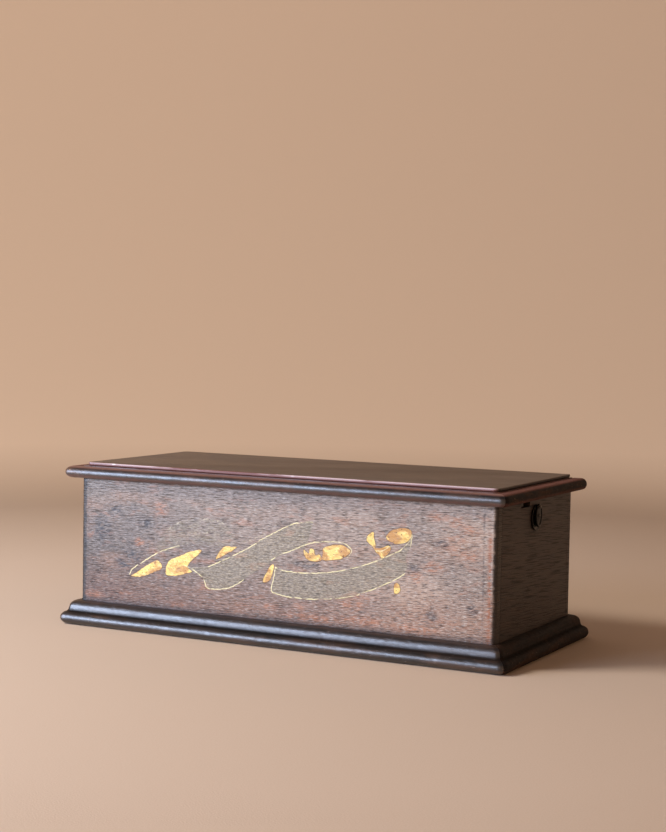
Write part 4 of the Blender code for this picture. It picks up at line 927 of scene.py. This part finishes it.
@dataclass
class Mouldings:
    """Plinth round the foot and bullnose round the lid, mm."""

    half_width: float = 230.0
    half_depth: float = 97.5
    corner: float = 4.0
    corner_easing: float = 0.2
    plinth_height: float = 24.5
    plinth_reach: float = 17.3
    lid_under: float = 150.3
    lid_top: float = 163.0
    lid_reach: float = 14.2
    square_back: float = 101.0
    spacing: float = 2.0
    hollow_z: float = 13.9
    plinth_dents: float = 0.28
    lid_dents: float = 0.16

    def plinth_profile(self) -> np.ndarray:
        """Fillet, ovolo, hollow and torus, as reach from the board and height."""
        top, reach = self.plinth_height, self.plinth_reach
        ovolo = arc((3.4, top - 7.4), 6.9, 82, 8, 10)
        torus = arc((reach - 6.5, 6.6), 6.5, 72, -80, 18)
        inner = [(0.3, 0.4), (0.3, top - 0.4), (0.7, top), (2.6, top - 0.05), (3.5, top - 0.3)]
        hollow = [(10.4, top - 7.6), (10.7, top - 8.2), (11.0, 14.6), (11.8, 13.2)]
        return np.vstack([inner, ovolo, hollow, torus, [(10.8, 0.05)]])

    def bullnose_profile(self) -> np.ndarray:
        """Flat top and bottom joined by a half circle."""
        low, top = self.lid_under + 0.7, self.lid_top - 0.5
        middle, radius = (low + top) / 2, (top - low) / 2
        flat = [(0.3, low + 0.3), (0.3, top - 0.3), (0.6, top), (4, top)]
        return np.vstack([flat, arc((self.lid_reach - radius, middle), radius, 90, -90, 20), [(0.6, low)]])

    def strip(self, name: str, profile: np.ndarray, side: str, square: bool, dents: float, seed: int,
              body: str, finish: Finish, node: str) -> Piece:
        """Profile carried along one side and half round its corners.

        At a corner each point lies at centre + radius (cos a, sin a), a running from 45 degrees off the side
        to its own direction; the radius grows by the corner easing with the reach, and the centre moves out
        along the diagonal to keep the side's reach. Between the corners the centre slides along the side.
        Slow and small noise takes up to the dent depth off the radius. The surface carries its wear, the red
        ledge of the lid, and grime with painted shade in the plinth's hollow.

        Args:
            name: Name of the piece.
            profile: Reach and height of each point, mm.
            side: Side of the case.
            square: Whether the back end runs straight out instead of round the corner.
            dents: Depth of the wear, mm.
            seed: Seed of the wear.
            body: Body that it moves with.
            finish: Its finish.
            node: Solid that it stands for.

        Returns:
            The new piece.
        """
        turn = SIDE_TURN[side]
        cx, cy = self.half_width - self.corner, self.half_depth - self.corner
        centres = {0: (cx, -cy), 90: (cx, cy), 180: (-cx, cy), 270: (-cx, -cy)}
        first, last = np.array(centres[turn]), np.array(centres[(turn + 90) % 360])
        first_way, last_way = np.sign(first), np.sign(last)
        hair, steps = 0.35, 9
        if square and side == "right":
            last, last_way = np.array([cx, self.square_back]), np.array([1.0, 0.0])
        if square and side == "left":
            first, first_way = np.array([-cx, self.square_back]), np.array([-1.0, 0.0])
        long = max(2, int(np.linalg.norm(last - first) / self.spacing))
        opening = np.linspace(turn - 45 + hair, turn, steps + 1)[:-1]
        closing = np.linspace(turn, turn + 45 - hair, steps + 1)[1:]
        share, bearing = [np.linspace(0, 1, long)], [np.full(long, turn, float)]
        if not (square and side == "left"):
            share.insert(0, np.zeros(steps))
            bearing.insert(0, opening)
        if not (square and side == "right"):
            share.append(np.ones(steps))
            bearing.append(closing)
        share, angle = np.concatenate(share)[:, None, None], np.radians(np.concatenate(bearing))
        radius = self.corner + self.corner_easing * profile[:, 0]
        shift = (profile[:, 0] + self.corner - radius)[:, None]
        centre = (1 - share) * (first + shift * first_way) + share * (last + shift * last_way)
        way = np.stack([np.cos(angle), np.sin(angle)], -1)
        track = np.cumsum(np.r_[0, np.linalg.norm(np.diff(centre[:, 0] + way * 8, axis=0), axis=1)])
        along, across = np.meshgrid(track, np.cumsum(np.r_[0, np.linalg.norm(np.diff(profile, axis=0), axis=1)]),
                                    indexing="ij")
        slow = value_noise(along, across, 24, seed)
        small = np.clip(value_noise(along, across, 5, seed + 1) - 0.45, 0, 1)
        loss = dents * (0.5 + 0.5 * slow) * 0.5 + dents * 2.2 * small
        worn = radius - loss * np.clip((profile[:, 0] - 1.0) / 3, 0, 1)
        height = np.broadcast_to(profile[:, 1], worn.shape)
        plan = centre + worn[..., None] * way[:, None, :]
        rings = np.concatenate([plan, height[..., None]], -1)
        near_corner = np.clip(1 - np.minimum(along, track[-1] - along) / 45, 0, 1)
        proud = np.clip((profile[:, 0] / profile[:, 0].max() - 0.55) / 0.45, 0, 1)
        rubbed = np.clip(0.35 + 0.5 * near_corner + 0.3 * value_noise(along, across, 40, seed + 2), 0, 1)
        above, below = height - profile[:, 1].max(), height - profile[:, 1].min()
        ledge = np.maximum(np.clip((above + 1.6) / 1.2, 0, 1), 0.5 * np.clip((4.5 - below) / 2, 0, 1))
        # the hollow between ovolo and torus is marked for darkening: partly grime, partly painted shade
        hollow = np.exp(-((height - self.hollow_z) / 1.9) ** 2)
        fields = {"wear": rubbed * (0.4 + 0.6 * proud), "ledge": ledge * (body == "lid"),
                  "grime_and_shade": hollow * (body != "lid")}
        piece = closed_surface(name, rings, fields=fields, crease=50)
        return settle(piece, body, finish, node)

    def build(self) -> None:
        """Make the plinth's four sides and the lid's three."""
        for k, side in enumerate(SIDE_TURN):
            self.strip(f"plinth_moulding_{side}", self.plinth_profile(), side, False, self.plinth_dents, 40 + 5 * k,
                       "case", EBONISED if side == "front" else EBONISED_DULL, f"plinth_{side}")
        for k, side in enumerate(("front", "left", "right")):
            self.strip(f"lid_bullnose_{side}", self.bullnose_profile(), side, side != "front", self.lid_dents,
                       80 + 5 * k, "lid", EBONISED if side == "front" else EBONISED_DULL, f"lid_moulding_{side}")


@dataclass
class LidTop:
    """Veneered top panel of the lid and the board under it, mm."""

    x: tuple = (-228.3, 228.3)
    y: tuple = (-92.7, 96.5)
    z: tuple = (163.3, 166.2)
    corner: float = 6.0

    def panel(self) -> Piece:
        """Panel with eased arrises, its rim nibbled by up to 0.3 mm of noise."""
        loop = rounded_box(self.x, self.y, (self.corner, 0.8, self.corner, self.corner), 8)
        loop = subdivided(loop, 2.5)
        loop = loop - outward(loop) * (0.15 + 0.15 * value_noise(loop[:, 0], loop[:, 1], 6, 21))[:, None]
        rings = eased_rings(loop, self.z, 0.7, Axis.Z, 4)
        return settle(closed_surface("lid_top_panel", rings), "lid", LID_VENEER, "lid_panel")

    def build(self) -> None:
        """Make the panel and dress the board and the tune card."""
        self.panel()
        LID_EDGE.dress_node("lid_board")
        CARD.dress_node("tune_card")


@dataclass
class WindingFitting:
    """Round iron plate over the winding hole and its oval drop cover, mm."""

    y: float = -2.0
    hole_z: float = 132.0
    cover_z: float = 134.2
    pivot_z: float = 142.2
    plate_x: float = 230.3
    cover_half: tuple = (7.4, 11.3)

    def build(self) -> None:
        """Turn the plate, the cover and the pin.

        Each is a profile of radius and level turned round an axis along x; the cover's circle is stretched
        to its oval.
        """
        x = self.plate_x
        plate = np.array([(4.6, x + 0.1), (5.0, x), (12.3, x), (12.7, x + 0.3), (12.7, x + 1.1), (12.3, x + 1.4),
                          (11.7, x + 1.4), (11.3, x + 1.1), (10.9, x + 0.9), (6.4, x + 0.9), (5.9, x + 1.1),
                          (5.2, x + 1.2), (4.7, x + 0.9)])
        rings = lathe_rings(plate, (self.y, self.hole_z), Axis.X, 64)
        settle(closed_surface("winding_hole_plate", rings, wrap=True), "case", BLACK_IRON, "winding_plate")
        c = x + 1.7
        cover = np.array([(0.03, c), (0.9, c), (0.97, c + 0.15), (1.0, c + 0.6), (1.0, c + 1.3), (0.97, c + 1.75),
                          (0.93, c + 1.95), (0.88, c + 1.95), (0.84, c + 1.7), (0.80, c + 1.25), (0.7, c + 1.2),
                          (0.45, c + 1.55), (0.2, c + 1.8), (0.03, c + 1.85)])
        rings = lathe_rings(cover, (self.y, self.cover_z), Axis.X, 56, self.cover_half)
        settle(closed_surface("oval_drop_cover", rings), "cover", BLACK_IRON, "winding_cover")
        stud = np.array([(0.03, c + 1.4), (1.7, c + 1.4), (1.8, c + 1.9), (1.5, c + 2.5), (0.9, c + 2.9),
                         (0.03, c + 3.0)])
        rings = lathe_rings(stud, (self.y, self.cover_z), Axis.X, 24)
        settle(closed_surface("cover_stud", rings), "cover", BRIGHT_IRON, "winding_cover")
        pin = np.array([(0.03, x), (1.0, x), (1.0, c + 2.2), (2.2, c + 2.3), (2.1, c + 2.8), (1.3, c + 3.2),
                        (0.03, c + 3.3)])
        rings = lathe_rings(pin, (self.y, self.pivot_z), Axis.X, 24)
        settle(closed_surface("cover_rivet", rings), "case", BRIGHT_IRON, "cover_pin")


def slotted_heads(places: Sequence[Sequence[float]], radius: float, height: float, axis: Axis = Axis.Z,
                  seed: int = 1) -> np.ndarray:
    """Screw heads: sections across a disc at stations s, each 2 sqrt(r2 - s2) long, lower inside the slot.

    Args:
        places: For each head its place across the axis (u, v) and the level of its seat, mm.
        radius: Radius of a head, mm.
        height: Height of a head, below zero to point the other way, mm.
        axis: Direction of the screws.
        seed: Seed for the direction of the slots.

    Returns:
        One set of rings for each head.
    """
    where = np.array(places, float)[:, :, None, None]
    stations = np.array([-1, -0.93, -0.7, -0.4, -0.17, -0.15, 0.15, 0.17, 0.4, 0.7, 0.93, 1]) * radius
    half = np.sqrt(np.maximum(radius**2 - stations**2, (0.12 * radius) ** 2))
    top = np.where(np.abs(stations) < 0.16 * radius, 0.35, 1.0) * height
    side = np.where(np.abs(top) > 0.7 * abs(height), 0.75 * height, top)
    a = np.stack([-half, half, half, 0.88 * half, -0.88 * half, -half], -1)[None]
    b = np.broadcast_to(stations[None, :, None], a.shape)
    level = np.stack([0 * top, 0 * top, side, top, top, side], -1)[None]
    turn = np.random.default_rng(seed).uniform(0, math.pi, len(where))[:, None, None]
    u = where[:, 0] + a * np.cos(turn) - b * np.sin(turn)
    v = where[:, 1] + a * np.sin(turn) + b * np.cos(turn)
    parts = [u, v]
    parts.insert(axis.value, where[:, 2] + level + 0 * u)
    return np.stack(parts, -1)


@dataclass
class Movement:
    """Bedplate, pinned cylinder and comb with their screws, mm."""

    bed_x: tuple = (-150.0, 158.0)
    bed_y: tuple = (-62.0, 68.0)
    bed_z: tuple = (30.0, 38.0)
    feet: tuple = ((-136, -50), (-136, 56), (144, -50), (144, 56))
    axis: tuple = (48.0, 70.0)
    drum_radius: float = 26.5
    half_length: float = 95.0
    teeth: int = 84
    pin_count: int = 2600
    beats: int = 160
    comb_y: tuple = (-38.0, -16.0, 20.5)
    comb_z: tuple = (70.0, 72.4)

    def bedplate(self) -> None:
        """Casting with rounded corners and rims on four turned feet, bolted through its corners."""
        loop = subdivided(rounded_box(self.bed_x, self.bed_y, (9, 9, 9, 9), 8), 12)
        rings = eased_rings(loop, self.bed_z, 1.6, Axis.Z, 4)
        settle(closed_surface("bedplate_casting", rings), "case", BEDPLATE, "bedplate")
        foot = np.array([(8.0, 16.3), (8.0, 18.0), (6.6, 19.5), (5.8, 23.0), (6.6, 27.5), (7.9, 29.5), (7.9, 31.0)])
        rings = np.stack([lathe_rings(foot, place, Axis.Z, 24) for place in self.feet])
        settle(closed_surface("bedplate_feet", rings), "case", BEDPLATE, "bedplate")
        heads = slotted_heads([(x, y, self.bed_z[1]) for x, y in self.feet], 4.6, 2.4, seed=3)
        settle(closed_surface("bedplate_bolts", heads), "case", STEEL)

    def pins(self) -> None:
        """Steel pins of the cylinder: each a small frustum from the drum's surface out along its own radius.

        A pin at angle a stands at axis + r (cos a, sin a), its width along x and along (-sin a, cos a). The
        angles are random beats of the turn, with the end of the tune left bare.
        """
        rng = np.random.default_rng(17)
        count = self.pin_count
        pitch = 2 * self.half_length / self.teeth
        lane = rng.integers(0, self.teeth * 3, count)
        x = -self.half_length + (lane / 3 + 0.33) * pitch
        a = (rng.integers(6, self.beats - 6, count) + rng.normal(0, 0.08, count)) / self.beats * 2 * math.pi
        radius = np.array([self.drum_radius - 0.2, self.drum_radius + 0.45, self.drum_radius + 0.85])[None, :, None]
        half = np.array([0.30, 0.27, 0.16])[None, :, None]
        around = np.radians(np.arange(5) * 72)[None, None, :]
        across, along = half * np.cos(around), half * np.sin(around)
        x, a = x[:, None, None], a[:, None, None]
        rings = np.stack([x + across + 0 * radius, self.axis[0] + radius * np.cos(a) - along * np.sin(a),
                          self.axis[1] + radius * np.sin(a) + along * np.cos(a)], -1)
        settle(closed_surface("cylinder_pins", rings), "cylinder", STEEL)

    def comb(self) -> None:
        """Comb cut from one plate: its plan is a straight back and a row of teeth, drawn out and eased."""
        back, root, tip = self.comb_y
        pitch = 2 * self.half_length / self.teeth
        gap = 0.17 * pitch
        middle = self.half_length - (np.arange(self.teeth - 1) + 1) * pitch
        side = np.stack([middle + gap, middle + gap, middle - gap, middle - gap], -1)
        depth = np.broadcast_to([tip, root, root, tip], side.shape)
        teeth = np.stack([side, depth], -1).reshape(-1, 2)
        w = self.half_length
        loop = np.vstack([[(-w, back), (w, back), (w, root), (w, tip)], teeth, [(-w, tip), (-w, root)]])
        rings = eased_rings(loop, self.comb_z, 0.12, Axis.Z, 1)
        settle(closed_surface("tuned_comb", rings, crease=25), "case", STEEL, "comb")
        heads = slotted_heads([(x, -30, self.comb_z[1]) for x in np.linspace(-84, 84, 7)], 3.4, 1.8, seed=5)
        settle(closed_surface("comb_screws", heads), "case", BLUED_STEEL)

    def build(self) -> None:
        """Make the new pieces and dress the solids that stay."""
        self.bedplate()
        self.pins()
        self.comb()
        BEDPLATE.dress_node("comb_base")
        BRASS.dress_node("cylinder_bridge_left", "cylinder_bridge_right", "barrel_bridge_left",
                         "barrel_bridge_right", "winding_bush", "governor_frame", "governor_cock",
                         "stop_lever_bracket", "cylinder_drum", "cylinder_cap_left", "cylinder_cap_right",
                         "great_wheel", "barrel_drum", "barrel_cover", "winding_wheel", "governor_wheel", "fly")
        STEEL.dress_node("cylinder_arbor", "mainspring", "barrel_arbor", "ratchet_wheel", "winding_arbor", "click",
                         "governor_arbor", "endless_screw")
        BLUED_STEEL.dress_node("click_screw")
        BLACK_IRON.dress_node("stop_lever")


@dataclass
class Fittings:
    """Partitions, glazed inner lid, hinges and the tune card's tacks, mm."""

    hinge_x: tuple = (-150.0, 150.0)
    screw_step: float = 14.0
    screw_y: float = 95.6

    def build(self) -> None:
        """Set the small screws and tacks and dress the solids that stay."""
        INNER_WOOD.dress_node("left_partition", "right_partition", "inner_lid_rest", "inner_lid_frame")
        GLASS.dress_node("inner_lid_glass")
        BRASS.dress_node("inner_lid_knob", "left_hinge_case_leaf", "right_hinge_case_leaf", "left_hinge_lid_leaf",
                         "right_hinge_lid_leaf")
        STEEL.dress_node("left_hinge_pin", "right_hinge_pin")
        spots = [(x + k * self.screw_step, self.screw_y) for x in self.hinge_x for k in (-1, 0, 1)]
        below = slotted_heads([(x, y, 150.0) for x, y in spots], 2.0, 0.12, seed=7)
        settle(closed_surface("hinge_screws_case", below), "case", BRASS)
        above = slotted_heads([(x, y, 150.3) for x, y in spots], 2.0, -0.12, seed=8)
        settle(closed_surface("hinge_screws_lid", above), "lid", BRASS)
        dome = np.array([(0.02, 149.25), (1.5, 149.25), (1.4, 148.95), (1.0, 148.7), (0.02, 148.6)])
        corners = [(x, y) for x in (-76.5, 76.5) for y in (-41.5, 41.5)]
        tacks = np.stack([lathe_rings(dome, place, Axis.Z, 14) for place in corners])
        settle(closed_surface("tune_card_tacks", tacks), "lid", BRASS)


# ---------------------------------------------------------------- studio


@dataclass(frozen=True)
class Lamp:
    """A soft rectangular light: place, point that it faces, size, power, colour, whether polish reflects it."""

    name: str
    place: tuple
    target: tuple
    size: tuple
    watts: float
    colour: str
    glossy: bool = True


@dataclass
class Studio:
    """Camera, lights and a round sweep of warm paper, metres."""

    eye: tuple = (0.8116, -1.5230, 0.3142)
    yaw: float = 0.4851
    pitch: float = 0.0549
    roll: float = 0.0172
    lens: float = 73.79
    lamps: tuple = (
        Lamp("low_window", (-1.25, -1.50, 0.42), (0, 0, 0.08), (1.6, 0.8), 66, "#cddfff"),
        Lamp("left_key", (-1.45, -1.35, 1.75), (0, 0, 0.05), (0.7, 0.7), 54, "#fbf6f0", False),
        Lamp("overhead", (-0.4, -0.2, 2.4), (0, 0, 0.05), (1.4, 1.0), 3, "#f4f4ff", False),
    )

    def camera(self) -> None:
        """Camera looking along (-sin yaw cos pitch, cos yaw cos pitch, -sin pitch), turned by the roll."""
        forward = Vector((-math.sin(self.yaw) * math.cos(self.pitch), math.cos(self.yaw) * math.cos(self.pitch),
                          -math.sin(self.pitch)))
        level = Vector((math.cos(self.yaw), math.sin(self.yaw), 0))
        above = level.cross(forward)
        right = math.cos(self.roll) * level + math.sin(self.roll) * above
        up = -math.sin(self.roll) * level + math.cos(self.roll) * above
        data = bpy.data.cameras.new("studio_camera")
        data.lens, data.sensor_width, data.sensor_fit = self.lens, 36.0, "AUTO"
        data.clip_start, data.clip_end = 0.05, 60.0
        camera = bpy.data.objects.new("studio_camera", data)
        camera.matrix_world = Matrix((
            (right.x, up.x, -forward.x, self.eye[0]), (right.y, up.y, -forward.y, self.eye[1]),
            (right.z, up.z, -forward.z, self.eye[2]), (0, 0, 0, 1)))
        bpy.context.scene.collection.objects.link(camera)
        bpy.context.scene.camera = camera

    def light(self, lamp: Lamp) -> None:
        """Hang one lamp."""
        data = bpy.data.lights.new(lamp.name, "AREA")
        data.shape, (data.size, data.size_y) = "RECTANGLE", lamp.size
        data.energy, data.color = lamp.watts, linear(lamp.colour)[:3]
        hung = bpy.data.objects.new(lamp.name, data)
        hung.visible_camera, hung.visible_glossy = False, lamp.glossy
        hung.location = lamp.place
        hung.rotation_euler = (Vector(lamp.target) - hung.location).to_track_quat("-Z", "Y").to_euler()
        bpy.context.scene.collection.objects.link(hung)

    def sweep(self) -> None:
        """Paper floor that turns up all round.

        Its profile is flat to the floor radius, then a quarter ellipse, then straight up; each point of the
        profile is turned round the upright axis.
        """
        angle = np.linspace(0, math.pi / 2, 24)
        rise = np.stack([1.6 + 2.6 * np.sin(angle), 2.0 * (1 - np.cos(angle))], -1)
        profile = np.vstack([[(0.001, 0.0), (0.5, 0.0), (1.2, 0.0)], rise, [(4.2, 5.0)]])
        sides = 72
        turn = np.arange(sides) / sides * 2 * math.pi
        points = np.stack([profile[:, None, 0] * np.cos(turn), profile[:, None, 0] * np.sin(turn),
                           np.repeat(profile[:, 1:], sides, 1)], -1)
        index = np.arange(len(profile) * sides).reshape(len(profile), sides)
        quads = np.stack([index[:-1], np.roll(index[:-1], -1, 1), np.roll(index[1:], -1, 1), index[1:]], -1)
        mesh = bpy.data.meshes.new("paper_sweep")
        faces = quads.reshape(-1, 4).tolist() + [index[0].tolist()[::-1]]
        mesh.from_pydata(points.reshape(-1, 3).tolist(), [], faces)
        mesh.polygons.foreach_set("use_smooth", np.ones(len(mesh.polygons), bool))
        mesh.update()
        sweep = bpy.data.objects.new("paper_sweep", mesh)
        bpy.context.scene.collection.objects.link(sweep)
        PAPER.dress(sweep)

    def build(self) -> None:
        """Place the camera, the paper and the lights."""
        self.camera()
        self.sweep()
        for lamp in self.lamps:
            self.light(lamp)
        world = bpy.data.worlds.new("room")
        world.use_nodes = True
        background = world.node_tree.nodes["Background"]
        background.inputs[0].default_value = linear("#e8eaf0")
        background.inputs[1].default_value = 0.07
        bpy.context.scene.world = world
        bpy.context.scene.view_settings.view_transform = "Standard"


def main() -> None:
    """Build every sub-assembly in order."""
    logging.basicConfig(level=logging.INFO, format="%(message)s")
    Studio().build()
    for assembly in (Case(), Mouldings(), LidTop(), WindingFitting(), Movement(), Fittings()):
        LOG.info("building %s", type(assembly).__name__)
        assembly.build()


if __name__ == "__main__":
    main()
